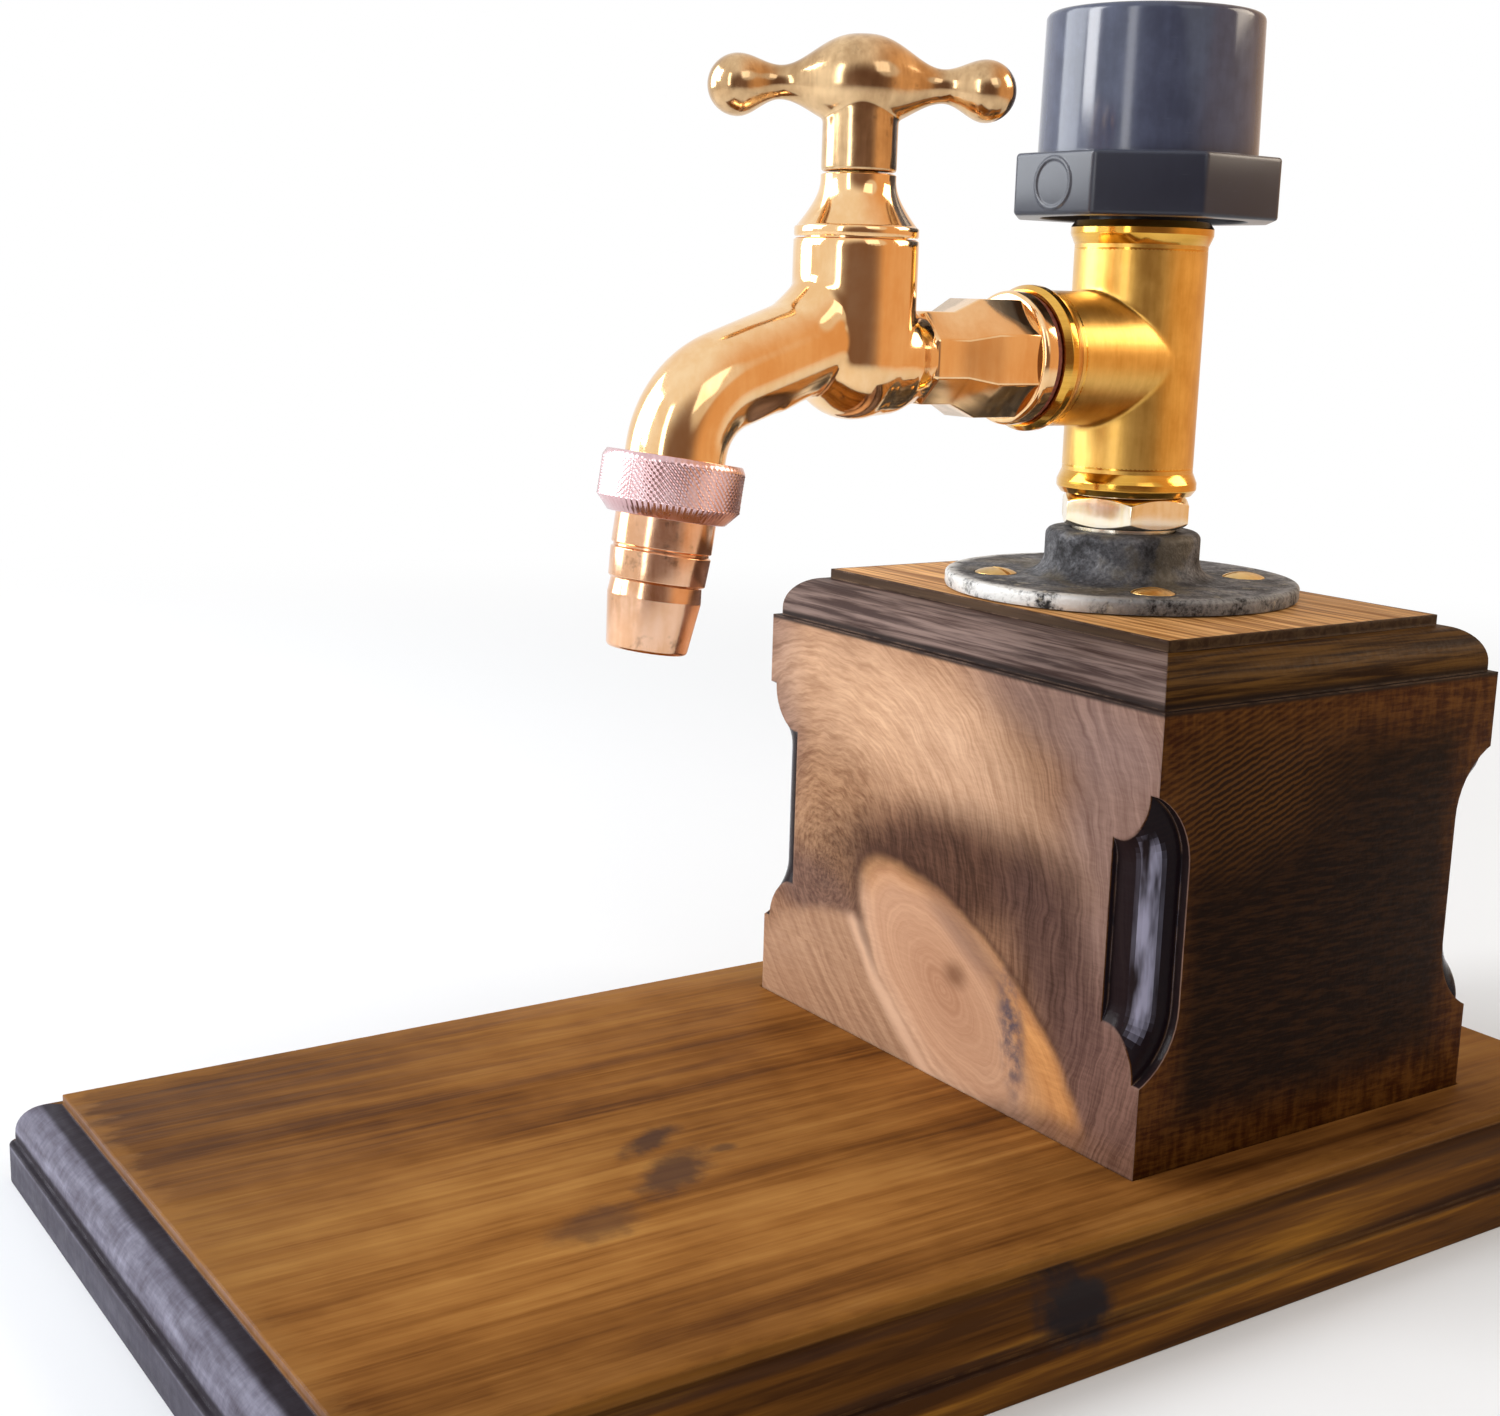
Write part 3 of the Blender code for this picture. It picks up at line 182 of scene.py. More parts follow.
    def edges(self, radius, low=0.02, high=0.25):
        """How near a sharp edge a point lies, from the difference that rounding it would make."""
        made = self.node("Bevel", samples=6)
        self.feed(made.inputs["Radius"], radius)
        flat = self.node("NewGeometry").outputs["Normal"]
        alike = self.vector("DOT_PRODUCT", made.outputs[0], flat)
        return self.span(self.maths("SUBTRACT", 1.0, alike), low, high), made.outputs[0]

    def bump(self, height, distance, strength=1.0, normal=None):
        made = self.node("Bump")
        self.feed(made.inputs["Height"], height)
        made.inputs["Distance"].default_value = distance
        made.inputs["Strength"].default_value = strength
        self.feed(made.inputs["Normal"], normal)
        return made.outputs[0]

    def done(self, colour=None, roughness=None, normal=None, **fixed):
        self.feed(self.surface.inputs["Base Color"], (*colour, 1) if isinstance(colour, tuple) else colour)
        self.feed(self.surface.inputs["Roughness"], roughness)
        self.feed(self.surface.inputs["Normal"], normal)
        for name, value in fixed.items():
            self.surface.inputs[name.replace("_", " ")].default_value = value
        return self.material


# Meshes

def arc(centre, radius, start, end, steps=10):
    points = []
    for step in range(steps + 1):
        angle = math.radians(start + (end - start) * step / steps)
        points.append((centre[0] + radius * math.cos(angle), centre[1] + radius * math.sin(angle)))
    return points


def rounded(points, sizes, steps=5):
    """A line of (radius, level) points with the numbered corners rounded by arcs."""
    line = []
    for number, point in enumerate(points):
        size = sizes.get(number, 0)
        if not size:
            line.append(point)
            continue
        here = Vector(point)
        back = (Vector(points[number - 1]) - here).normalized()
        ahead = (Vector(points[(number + 1) % len(points)]) - here).normalized()
        half = back.angle(ahead) / 2
        reach = size / math.tan(half)
        centre = here + (back + ahead).normalized() * (size / math.sin(half))
        first = here + back * reach - centre
        last = here + ahead * reach - centre
        sweep = first.angle_signed(last)
        for step in range(steps + 1):
            turned = first.copy()
            turned.rotate(Matrix.Rotation(-sweep * step / steps, 2))
            line.append(tuple(centre + turned))
    return line


def ring(radius, level, sides=ROUND, turn=0.0):
    if radius == 0:
        return [Vector((0, 0, level))]
    angles = [turn + math.tau * side / sides for side in range(sides)]
    return [Vector((radius * math.cos(a), radius * math.sin(a), level)) for a in angles]


def skin(rings, loop=False):
    """A closed body through rings of points, capped or joined last to first."""
    shape = bmesh.new()
    rows = [[shape.verts.new(point) for point in points] for points in rings]
    pairs = list(zip(rows, rows[1:])) + ([(rows[-1], rows[0])] if loop else [])
    for lower, upper in pairs:
        for side in range(max(len(lower), len(upper))):
            after = (side + 1) % max(len(lower), len(upper))
            if len(lower) == 1:
                shape.faces.new((lower[0], upper[after], upper[side]))
            elif len(upper) == 1:
                shape.faces.new((lower[side], lower[after], upper[0]))
            else:
                shape.faces.new((lower[side], lower[after], upper[after], upper[side]))
    for row in (rows[0], rows[-1]):
        if len(row) > 1 and not loop:
            shape.faces.new(row)
    bmesh.ops.recalc_face_normals(shape, faces=shape.faces)
    return shape


def lathe(points, sides=ROUND, loop=False, place=None):
    shape = skin([ring(radius, level, sides) for radius, level in points], loop)
    if place:
        shape.transform(place)
    return shape


def prism(across, levels, sides, turn, place=None):
    """A bevelled polygon prism from (inset, level) pairs."""
    rings = []
    for inset, level in levels:
        rings.append(ring((across / 2 - inset) / math.cos(math.pi / sides), level, sides, turn))
    shape = skin(rings)
    if place:
        shape.transform(place)
    return shape


def merged(shapes):
    """Several closed shapes as one mesh."""
    whole = bpy.data.meshes.new("merged")
    both = bmesh.new()
    for shape in shapes:
        part = bpy.data.meshes.new("part")
        shape.to_mesh(part)
        shape.free()
        both.from_mesh(part)
        bpy.data.meshes.remove(part)
    both.to_mesh(whole)
    both.free()
    return whole


def thing(name, mesh):
    made = bpy.data.objects.new(name, mesh)
    bpy.context.scene.collection.objects.link(made)
    return made


def settled(made):
    """Apply an object's modifiers, and drop the helper objects that they used."""
    helpers = [m.object for m in made.modifiers if m.type == "BOOLEAN"]
    graph = bpy.context.evaluated_depsgraph_get()
    mesh = bpy.data.meshes.new_from_object(made.evaluated_get(graph))
    made.modifiers.clear()
    made.data = mesh
    for helper in helpers:
        bpy.data.objects.remove(helper, do_unlink=True)
    return made


def boolean(made, operation, shape):
    tool = thing(made.name + "_tool", merged([shape]))
    modifier = made.modifiers.new("boolean", "BOOLEAN")
    modifier.operation = operation
    modifier.solver = "EXACT"
    modifier.object = tool
    return settled(made)


def fused(name, shapes, voxel, rounds, share=0.5):
    """Shapes melted into one casting with soft inner and outer corners."""
    made = thing(name, merged(shapes))
    remesh = made.modifiers.new("remesh", "REMESH")
    remesh.mode = "VOXEL"
    remesh.voxel_size = voxel
    soften = made.modifiers.new("soften", "SMOOTH")
    soften.factor = share
    soften.iterations = rounds
    return settled(made)


def dress(made, material, body, replaced=(), angle=34):
    """Give a piece its shading, material and body, and hide the frame's nodes that it replaces."""
    mesh = made.data
    mesh.shade_smooth()
    mesh.set_sharp_from_angle(angle=math.radians(angle))
    mesh.materials.clear()
    mesh.materials.append(material)
    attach(made, body)
    if replaced:
        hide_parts(*replaced)
    return made


def soften_edges(made, width, segments=3, angle=30):
    bevel = made.modifiers.new("bevel", "BEVEL")
    bevel.width = width
    bevel.segments = segments
    bevel.limit_method = "ANGLE"
    bevel.angle_limit = math.radians(angle)
    bevel.harden_normals = False
    return settled(made)


# Materials

def grain(graph, along, fine, warp=0.0, seed=0.0):
    """Fibre noise stretched along one axis: the lengthwise scale is low, the others high."""
    scale = [fine, fine, fine]
    scale["xyz".index(along)] = fine / 26
    vector = graph.mapped(tuple(scale), shift=(seed, seed * 0.7, seed * 1.3))
    return graph.noise(vector, 1.0, 4.0, 0.6, warp)


def make_board_wood():
    g = Graph("board_wood")
    x, y, z = g.axes()
    fibre = grain(g, "y", 1100)
    streak = grain(g, "y", 330, 0.3, 3.0)
    lane = grain(g, "y", 120, 0.5, 7.0)
    broad = g.noise(g.mapped((34, 7, 34), shift=(2, 1, 0)), 1.0, 4.0, 0.6, 0.5)
    cloud = g.noise(scale=26, detail=4.0, rough=0.6)
    tone = g.maths("MULTIPLY_ADD", streak, 0.28, g.maths("MULTIPLY", lane, 0.18))
    tone = g.maths("MULTIPLY_ADD", broad, 0.26, tone)
    tone = g.maths("MULTIPLY_ADD", cloud, 0.24, tone)
    tone = g.maths("MULTIPLY_ADD", fibre, 0.12, tone)
    colour = g.ramp(
        tone, (0.40, (0.052, 0.016, 0.003)), (0.465, (0.130, 0.045, 0.008)), (0.52, (0.220, 0.083, 0.016)),
        (0.575, (0.310, 0.127, 0.028)), (0.66, (0.43, 0.200, 0.050)))
    shade = g.span(g.maths("MULTIPLY_ADD", y, -1.0, g.maths("MULTIPLY", x, -0.7)), 0.06, 0.17, 1.0, 0.50)
    shade = g.maths("MULTIPLY", shade, g.span(x, 0.035, 0.075, 1.0, 0.72))
    colour = g.mix(1.0, colour, g.grey(shade), "MULTIPLY")
    inset_x = g.maths("SUBTRACT", BOARD_WIDTH / 2, g.maths("ABSOLUTE", x))
    inset_y = g.maths("SUBTRACT", BOARD_LENGTH / 2, g.maths("ABSOLUTE", y))
    ragged = g.maths("MULTIPLY", g.maths("SUBTRACT", g.noise(g.mapped((320, 90, 320)), 1.0, 4.0, 0.6), 0.5), 0.016)
    # lighter strip along the top's edges: partly wear, partly painted highlight
    rubbed_and_lit_strip = g.span(g.maths("ADD", inset_y, ragged), 0.0135, 0.0090)
    colour = g.mix(g.maths("MULTIPLY", rubbed_and_lit_strip, 0.5), colour, (0.27, 0.120, 0.030))
    rubbed_and_lit_strip = g.span(g.maths("ADD", inset_x, ragged), 0.0125, 0.0095)
    colour = g.mix(g.maths("MULTIPLY", rubbed_and_lit_strip, 0.35), colour, (0.28, 0.115, 0.020))
    mottle = g.maths("MULTIPLY", g.maths("SUBTRACT", g.noise(scale=260, detail=4.0), 0.5), 1.3)
    for centre, radii, share, turn in (
            ((0.0010, -0.0490), (0.0028, 0.0075), 0.80, 0.5), ((0.0150, -0.0525), (0.0045, 0.0095), 0.75, 0.6),
            ((0.0255, -0.0740), (0.0050, 0.0085), 0.55, 0.2), ((0.0105, -0.0395), (0.0016, 0.0026), 0.6, 0.0),
            ((-0.045, 0.128), (0.0060, 0.0100), 0.6, 0.0)):
        stain = g.blob(centre, radii, 0.5, mottle, turn, plane="xy")[0]
        colour = g.mix(g.maths("MULTIPLY", stain, share), colour, (0.055, 0.030, 0.024))

    # the routed edge: a painted lilac-grey sheen over dark on the two ends, gold and dark brown on the long sides
    end = g.span(g.maths("SUBTRACT", inset_x, inset_y), -0.0004, 0.0004)
    rasp = g.noise(g.mapped((700, 240, 240)), 1.0, 4.0, 0.65)
    tread = g.noise(g.mapped((60, 200, 420)), 1.0, 4.0, 0.6)
    # painted sheen: lilac-grey on the ends' moulding
    sheen_greys = g.ramp(
        g.maths("MULTIPLY_ADD", rasp, 0.3, g.maths("MULTIPLY", tread, 0.7)),
        (0.34, (0.070, 0.060, 0.078)), (0.50, (0.135, 0.126, 0.162)), (0.68, (0.240, 0.232, 0.290)))
    golds = g.ramp(
        g.maths("MULTIPLY_ADD", streak, 0.55, g.maths("MULTIPLY", lane, 0.45)),
        (0.40, (0.045, 0.015, 0.002)), (0.51, (0.120, 0.044, 0.006)), (0.64, (0.34, 0.145, 0.018)))
    mould = g.mix(end, golds, sheen_greys)
    # painted shade: dark bands at the foot of the round by the ledge and at the top's step
    groove = g.maths("MULTIPLY", g.span(z, 0.0070, 0.0076), g.span(z, 0.0100, 0.0088))
    step = g.maths("MULTIPLY", g.span(z, 0.0150, 0.0156), g.span(z, 0.0172, 0.0166))
    recess_shade = g.maths("MAXIMUM", groove, step)
    mould = g.mix(g.maths("MULTIPLY", recess_shade, g.span(end, 0.0, 1.0, 0.6, 0.85)), mould, (0.010, 0.006, 0.007))
    # a dimmer painted grey sheen on the ends' face below the ledge
    low = g.maths("MULTIPLY", g.span(z, 0.0076, 0.0066), end)
    mould = g.mix(g.maths("MULTIPLY", low, 0.8), mould, (0.050, 0.046, 0.058))
    knot = g.blob((-0.0165, 0.0115), (0.0075, 0.0050), 0.5, mottle, plane="yz")[0]
    mould = g.mix(g.maths("MULTIPLY", g.maths("MULTIPLY", knot, g.span(x, 0.06, 0.065)), 0.95), mould, (0.012, 0.010, 0.012))
    edge = g.maths("MINIMUM", inset_x, inset_y)
    colour = g.mix(g.span(edge, 0.0087, 0.0084), colour, mould)
    # lighter edges: partly wear, partly painted highlight, lilac on the ends
    lighter_edge, soft = g.edges(0.0008)
    lighter_edge = g.maths("MULTIPLY", lighter_edge, g.span(g.noise(scale=150, detail=3.0), 0.36, 0.60))
    arris_wear_and_highlight = g.mix(end, (0.38, 0.180, 0.045), (0.34, 0.32, 0.37))
    colour = g.mix(g.maths("MULTIPLY", lighter_edge, 0.65), colour, arris_wear_and_highlight)
    rough = g.span(streak, 0.3, 0.7, 0.50, 0.66)
    height = g.maths("MULTIPLY_ADD", fibre, 0.45, g.maths("MULTIPLY", streak, 0.55))
    normal = g.bump(height, 0.00014, 0.8, soft)
    return g.done(colour, rough, normal, Specular_IOR_Level=0.05)


def make_block_wood():
    g = Graph("block_wood")
    x, y, z = g.axes()
    facing = g.axes(g.node("NewGeometry").outputs["True Normal"])
    on_side = g.span(g.maths("ABSOLUTE", facing[0]), 0.55, 0.8)
    inset_x = g.maths("SUBTRACT", BLOCK_WIDTH / 2, g.maths("ABSOLUTE", x))
    inset_y = g.maths("SUBTRACT", BLOCK_DEPTH / 2, g.maths("ABSOLUTE", g.maths("SUBTRACT", y, STACK_Y)))
    colour = g.mix(on_side, paint_front(g), paint_side(g, inset_y))

    # routed band, dark lines of painted shade at the ledge and the top's step, top, and the stopped beads at the
    # corners with a painted lilac sheen
    along = grain(g, "x", 900, 0.3, 5.0)
    across = grain(g, "y", 900, 0.3, 6.0)
    front = g.mix(g.span(along, 0.36, 0.66), (0.050, 0.027, 0.022), (0.215, 0.148, 0.125))
    flank = g.mix(g.span(across, 0.36, 0.66), (0.018, 0.006, 0.001), (0.105, 0.045, 0.008))
    beside = g.span(inset_x, inset_y, g.maths("ADD", inset_y, 0.0004))
    colour = g.mix(g.span(z, 0.1010, 0.1020), colour, g.mix(beside, flank, front))
    top = g.mix(g.span(grain(g, "x", 520, 0.5, 9.0), 0.36, 0.66), (0.300, 0.125, 0.032), (0.82, 0.440, 0.165))
    edge = g.maths("MINIMUM", inset_x, inset_y)
    colour = g.mix(g.span(edge, 0.0084, 0.0088), colour, g.mix(g.span(z, 0.1005, 0.1015), colour, top))
    # painted shade: dark lines at the ledge under the round and at the top's fillet step
    ledge = g.maths("MULTIPLY", g.span(z, 0.1008, 0.1016), g.span(z, 0.1036, 0.1026))
    step = g.maths("MULTIPLY", g.span(edge, 0.0080, 0.0084), g.span(edge, 0.0094, 0.0088))
    step = g.maths("MULTIPLY", step, g.span(z, 0.1085, 0.1100))
    colour = g.mix(g.maths("MULTIPLY", g.maths("MAXIMUM", ledge, step), 0.88), colour, (0.010, 0.005, 0.004))
    hollow = g.maths("MULTIPLY", g.span(edge, 0.0001, 0.0004), g.span(edge, 0.0106, 0.0100))
    hollow = g.maths("MULTIPLY", hollow, g.maths("MULTIPLY", g.span(z, 0.0305, 0.0315), g.span(z, 0.0915, 0.0905)))
    # painted sheen: a lilac streak where the bead's hollow faces 45 degrees, over near black
    sheen = g.maths("MULTIPLY", g.maths("ABSOLUTE", facing[0]), g.maths("ABSOLUTE", facing[1]))
    sheen_streak = g.maths("MULTIPLY", g.span(sheen, 0.36, 0.49), g.span(g.noise(g.mapped((300, 300, 60)), 1.0, 3.0), 0.30, 0.6))
    bead_sheen = g.mix(sheen_streak, (0.008, 0.005, 0.007), (0.300, 0.290, 0.380))
    colour = g.mix(g.maths("MULTIPLY", hollow, 0.96), colour, bead_sheen)
    # lighter edges: partly wear, partly painted highlight
    lighter_edge, soft = g.edges(0.0008)
    lighter_edge = g.maths("MULTIPLY", lighter_edge, g.span(g.noise(scale=170, detail=3.0), 0.38, 0.60))
    colour = g.mix(g.maths("MULTIPLY", lighter_edge, 0.55), colour, g.mix(on_side, (0.40, 0.255, 0.180), (0.20, 0.085, 0.020)))
    height = g.maths("MULTIPLY_ADD", along, 0.5, g.maths("MULTIPLY", g.noise(scale=900, detail=3.0), 0.4))
    normal = g.bump(height, 0.00014, 0.7, soft)
    rough = g.span(hollow, 0.0, 1.0, g.span(along, 0.3, 0.7, 0.42, 0.56), 0.20)
    return g.done(colour, rough, normal, Specular_IOR_Level=0.05)


def make_metal(name, light, deep, rough_low, rough_high, grit, coat=0.0, brushed=None, dirt=0.0, film=0.08):
    """A metal that varies softly in colour and polish, with fine scratches and, when dirt is given, dark grime
    patches.
    """
    g = Graph(name)
    cloud = g.noise(scale=95, detail=4.0, rough=0.6)
    fine = g.noise(scale=1400, detail=2.0)
    scratch = g.noise(g.mapped(brushed or (700, 700, 90)), 1.0, 3.0, 0.6)
    tone = g.maths("MULTIPLY_ADD", scratch, 0.3, g.maths("MULTIPLY", cloud, 0.7))
    colour = g.mix(g.span(tone, 0.32, 0.68), deep, light)
    if dirt:
        grime = g.span(g.noise(scale=310, detail=4.0, rough=0.65), 0.58, 0.74)
        colour = g.mix(g.maths("MULTIPLY", grime, dirt), colour, (0.09, 0.045, 0.02))
    rough = g.span(tone, 0.3, 0.7, rough_low, rough_high)
    height = g.maths("MULTIPLY_ADD", fine, 0.35, scratch)
    normal = g.bump(height, grit, 0.6)
    return g.done(colour, rough, normal, Metallic=1.0, Coat_Weight=coat, Coat_Roughness=film)


def make_iron():
    g = Graph("dark_iron")
    x, y, z = g.axes()
    v = g.maths("SUBTRACT", y, STACK_Y)
    away = g.maths("SQRT", g.maths("MULTIPLY_ADD", x, x, g.maths("MULTIPLY", v, v)))
    blotch = g.noise(scale=170, detail=5.0, rough=0.65)
    grit = g.noise(scale=1100, detail=4.0, rough=0.7)
    tone = g.maths("MULTIPLY_ADD", grit, 0.4, g.maths("MULTIPLY", blotch, 0.6))
    colour = g.ramp(
        tone, (0.38, (0.016, 0.015, 0.016)), (0.48, (0.052, 0.051, 0.056)), (0.57, (0.110, 0.109, 0.116)),
        (0.68, (0.230, 0.228, 0.232)))
    stain = g.maths("MULTIPLY", g.span(g.noise(scale=85, detail=4.0), 0.50, 0.60), g.span(away, 0.036, 0.028))
    colour = g.mix(g.maths("MULTIPLY", stain, 0.7), colour, (0.075, 0.058, 0.032))
    chips = g.maths("MULTIPLY", g.span(g.noise(scale=300, detail=4.0, rough=0.7), 0.59, 0.66), g.span(away, 0.018, 0.022))
    colour = g.mix(g.maths("MULTIPLY", chips, 0.55), colour, (0.34, 0.30, 0.22))
    # painted highlight: a pale rim on the flange, stronger on its left side
    left = g.span(g.maths("MULTIPLY_ADD", x, 0.7, g.maths("MULTIPLY", v, 0.7)), 0.006, -0.014)
    rim = g.maths("MULTIPLY", g.span(away, 0.0318, 0.0346), g.span(tone, 0.36, 0.52))
    rim = g.maths("MULTIPLY", rim, g.span(left, 0.0, 1.0, 0.22, 0.85))
    colour = g.mix(rim, colour, (0.74, 0.73, 0.70))
    rough = g.span(tone, 0.35, 0.65, 0.75, 0.45)
    return g.done(colour, rough, g.bump(tone, 0.00045, 1.0), Metallic=0.3, Specular_IOR_Level=0.35)


def make_plastic():
    g = Graph("slate_plastic")
    x, y, z = g.axes()
    cloud = g.noise(scale=120, detail=4.0, rough=0.6)
    drawn = g.noise(g.mapped((500, 500, 90)), 1.0, 3.0, 0.6)
    tone = g.maths("MULTIPLY_ADD", drawn, 0.3, g.maths("MULTIPLY", cloud, 0.7))
    colour = g.mix(g.span(tone, 0.32, 0.68), (0.044, 0.051, 0.083), (0.068, 0.078, 0.124))
    colour = g.mix(g.span(z, COLLAR_TOP + 0.001, COLLAR_TOP - 0.001, 0.0, 0.85), colour, (0.010, 0.012, 0.022))
    scuff = g.span(g.noise(g.mapped((260, 260, 1500)), 1.0, 3.0), 0.66, 0.76)
    colour = g.mix(g.maths("MULTIPLY", scuff, 0.15), colour, (0.12, 0.13, 0.16))
    lighter_edge, soft = g.edges(0.0006)
    colour = g.mix(g.maths("MULTIPLY", lighter_edge, 0.35), colour, (0.13, 0.14, 0.18))
    rough = g.span(z, COLLAR_TOP - 0.001, COLLAR_TOP + 0.001, 0.28, g.span(tone, 0.3, 0.7, 0.10, 0.17))
    grain_bump = g.noise(scale=2600, detail=2.0)
    return g.done(colour, rough, g.bump(grain_bump, 0.00001, 0.4, soft), Specular_IOR_Level=0.55)


def make_matt(name, dark, light, scale):
    g = Graph(name)
    speck = g.noise(scale=scale, detail=4.0, rough=0.7)
    colour = g.mix(g.span(speck, 0.35, 0.65), dark, light)
    return g.done(colour, g.span(speck, 0.3, 0.7, 0.6, 0.8), g.bump(speck, 0.00005, 0.6))


def around(graph, far, angle, fine, turns):
    """Noise drawn out into arcs: fine across them, slow along them."""
    made = graph.node("CombineXYZ")
    graph.feed(made.inputs[0], graph.maths("MULTIPLY", far, fine))
    graph.feed(made.inputs[1], graph.maths("MULTIPLY", angle, turns))
    return graph.noise(made.outputs[0], 1.0, 4.0, 0.6)


def paint_front(g):
    """The block's front: a swirl round a knot, a burnt sweep and a pale oval heart."""
    x, y, z = g.axes()
    cloud = g.maths("SUBTRACT", g.noise(scale=34, detail=4.0, rough=0.55), 0.5)
    wobble = g.maths("MULTIPLY", cloud, 1.0)
    small = g.maths("MULTIPLY", g.maths("SUBTRACT", g.noise(scale=75, detail=3.0), 0.5), 0.16)
    u = g.maths("SUBTRACT", x, -0.036)
    v = g.maths("SUBTRACT", z, 0.052)
    swirl_far = g.maths("SQRT", g.maths("MULTIPLY_ADD", u, u, g.maths("MULTIPLY", v, v)))
    swirl_far = g.maths("MULTIPLY_ADD", cloud, 0.012, swirl_far)
    angle = g.maths("ARCTAN2", v, u)
    fine = around(g, swirl_far, angle, 1300, 5.0)
    wide = around(g, swirl_far, angle, 460, 2.2)
    brush = g.noise(g.mapped((260, 260, 1500), turn=(0, 0.45, 0)), 1.0, 4.0, 0.6, 0.3)
    tone = g.maths("MULTIPLY_ADD", fine, 0.46, g.maths("MULTIPLY", wide, 0.36))
    tone = g.span(g.maths("MULTIPLY_ADD", brush, 0.18, tone), 0.33, 0.67)

    def zone(face, centre, radii, turn, share, dark, light, soft=0.6, warp=wobble):
        patch = g.blob(centre, radii, soft, warp, math.radians(turn))[0]
        return g.mix(g.maths("MULTIPLY", patch, share), face, g.mix(tone, dark, light))

    face = g.mix(tone, (0.170, 0.076, 0.038), (0.370, 0.200, 0.112))
    # painted sheen: the purplish zone along the right of the face
    face = zone(face, (0.049, 0.074), (0.016, 0.036), 0, 0.80, (0.140, 0.080, 0.066), (0.270, 0.175, 0.150))
    face = zone(face, (0.032, 0.097), (0.024, 0.008), -8, 0.70, (0.165, 0.098, 0.082), (0.31, 0.200, 0.168))
    face = zone(face, (-0.057, 0.078), (0.010, 0.032), 4, 0.80, (0.080, 0.042, 0.038), (0.23, 0.140, 0.120))
    face = zone(face, (-0.014, 0.088), (0.033, 0.0130), -6, 0.97, (0.43, 0.240, 0.135), (0.68, 0.430, 0.265), 0.75)
    face = zone(face, (0.010, 0.080), (0.026, 0.0095), -24, 0.70, (0.38, 0.215, 0.125), (0.60, 0.380, 0.245), 0.7)
    face = zone(face, (-0.036, 0.060), (0.017, 0.014), 20, 0.70, (0.185, 0.080, 0.035), (0.50, 0.290, 0.155))
    face = zone(face, (-0.040, 0.045), (0.018, 0.0075), -8, 0.85, (0.070, 0.033, 0.026), (0.20, 0.110, 0.080), 0.5)
    face = zone(face, (0.001, 0.0605), (0.036, 0.0105), 8, 0.96, (0.024, 0.009, 0.005), (0.110, 0.050, 0.031), 0.55)
    face = zone(face, (0.034, 0.052), (0.020, 0.0105), -58, 0.92, (0.036, 0.016, 0.012), (0.120, 0.062, 0.048), 0.6)
    face = zone(face, (0.053, 0.030), (0.014, 0.017), 20, 0.85, (0.070, 0.034, 0.028), (0.190, 0.102, 0.082), 0.6)

    # pale wood at the lower left, and the oval over it with a knot, a sooty streak and an orange rim
    oval, oval_far = g.blob((0.0106, 0.0333), (0.0385, 0.0165), 0.09, small, math.radians(-31))
    knot, knot_far = g.blob((0.0040, 0.0365), (0.0280, 0.0128), 0.16, small, math.radians(-34))
    strand = around(g, oval_far, g.maths("ARCTAN2", g.maths("SUBTRACT", z, 0.0333), g.maths("SUBTRACT", x, 0.0106)), 10.0, 1.3)
    strand = g.span(g.maths("MULTIPLY_ADD", brush, 0.3, g.maths("MULTIPLY", strand, 0.7)), 0.25, 0.75)
    low, low_far = g.blob((-0.014, 0.014), (0.0505, 0.0290), 0.06, small, math.radians(-8))
    pale = g.mix(strand, (0.25, 0.125, 0.070), (0.47, 0.280, 0.168))
    streak = g.maths("MULTIPLY", g.span(oval_far, 1.30, 1.12), g.span(oval_far, 0.98, 1.06))
    pale = g.mix(g.maths("MULTIPLY", streak, 0.75), pale, (0.68, 0.43, 0.285))
    ahead = g.span(y, STACK_Y, STACK_Y - 0.001)
    face = g.mix(g.maths("MULTIPLY", low, g.span(ahead, 0.0, 1.0, 0.5, 1.0)), face, pale)
    heart = g.mix(strand, (0.36, 0.165, 0.072), (0.62, 0.330, 0.150))
    warped = g.maths("MULTIPLY_ADD", small, 0.6, knot_far)
    rings = g.noise(g.vector("MULTIPLY", g.grey(warped), (9.0, 9.0, 9.0)), 1.0, 3.0, 0.55)
    rings = g.span(g.maths("MULTIPLY_ADD", brush, 0.25, g.maths("MULTIPLY", rings, 0.75)), 0.30, 0.70)
    inner = g.mix(rings, (0.42, 0.222, 0.128), (0.56, 0.325, 0.198))
    inner = g.mix(g.span(knot_far, 0.75, 0.05, 0.0, 0.35), inner, (0.33, 0.150, 0.080))
    speck = g.blob((0.0075, 0.0405), (0.0030, 0.0022), 0.8, small)[0]
    inner = g.mix(g.maths("MULTIPLY", speck, 0.7), inner, (0.15, 0.062, 0.030))
    aside = g.maths("MULTIPLY_ADD", g.maths("SUBTRACT", x, 0.0106), 0.515, g.maths("MULTIPLY", g.maths("SUBTRACT", z, 0.0333), 0.857))
    heart = g.mix(g.span(aside, 0.002, -0.005), heart, g.mix(strand, (0.43, 0.240, 0.145), (0.66, 0.410, 0.265)))
    heart = g.mix(knot, heart, inner)
    tip = g.blob((0.0360, 0.0320), (0.0190, 0.0060), 0.5, small, math.radians(-50))[0]
    heart = g.mix(g.maths("MULTIPLY", tip, 0.9), heart, g.mix(strand, (0.42, 0.170, 0.055), (0.70, 0.340, 0.120)))
    soot = g.blob((0.0245, 0.0350), (0.0032, 0.0125), 0.6, small, math.radians(10))[0]
    dust = g.span(g.noise(scale=300, detail=4.0, rough=0.6), 0.30, 0.66)
    heart = g.mix(g.maths("MULTIPLY", soot, dust), heart, (0.105, 0.078, 0.088))
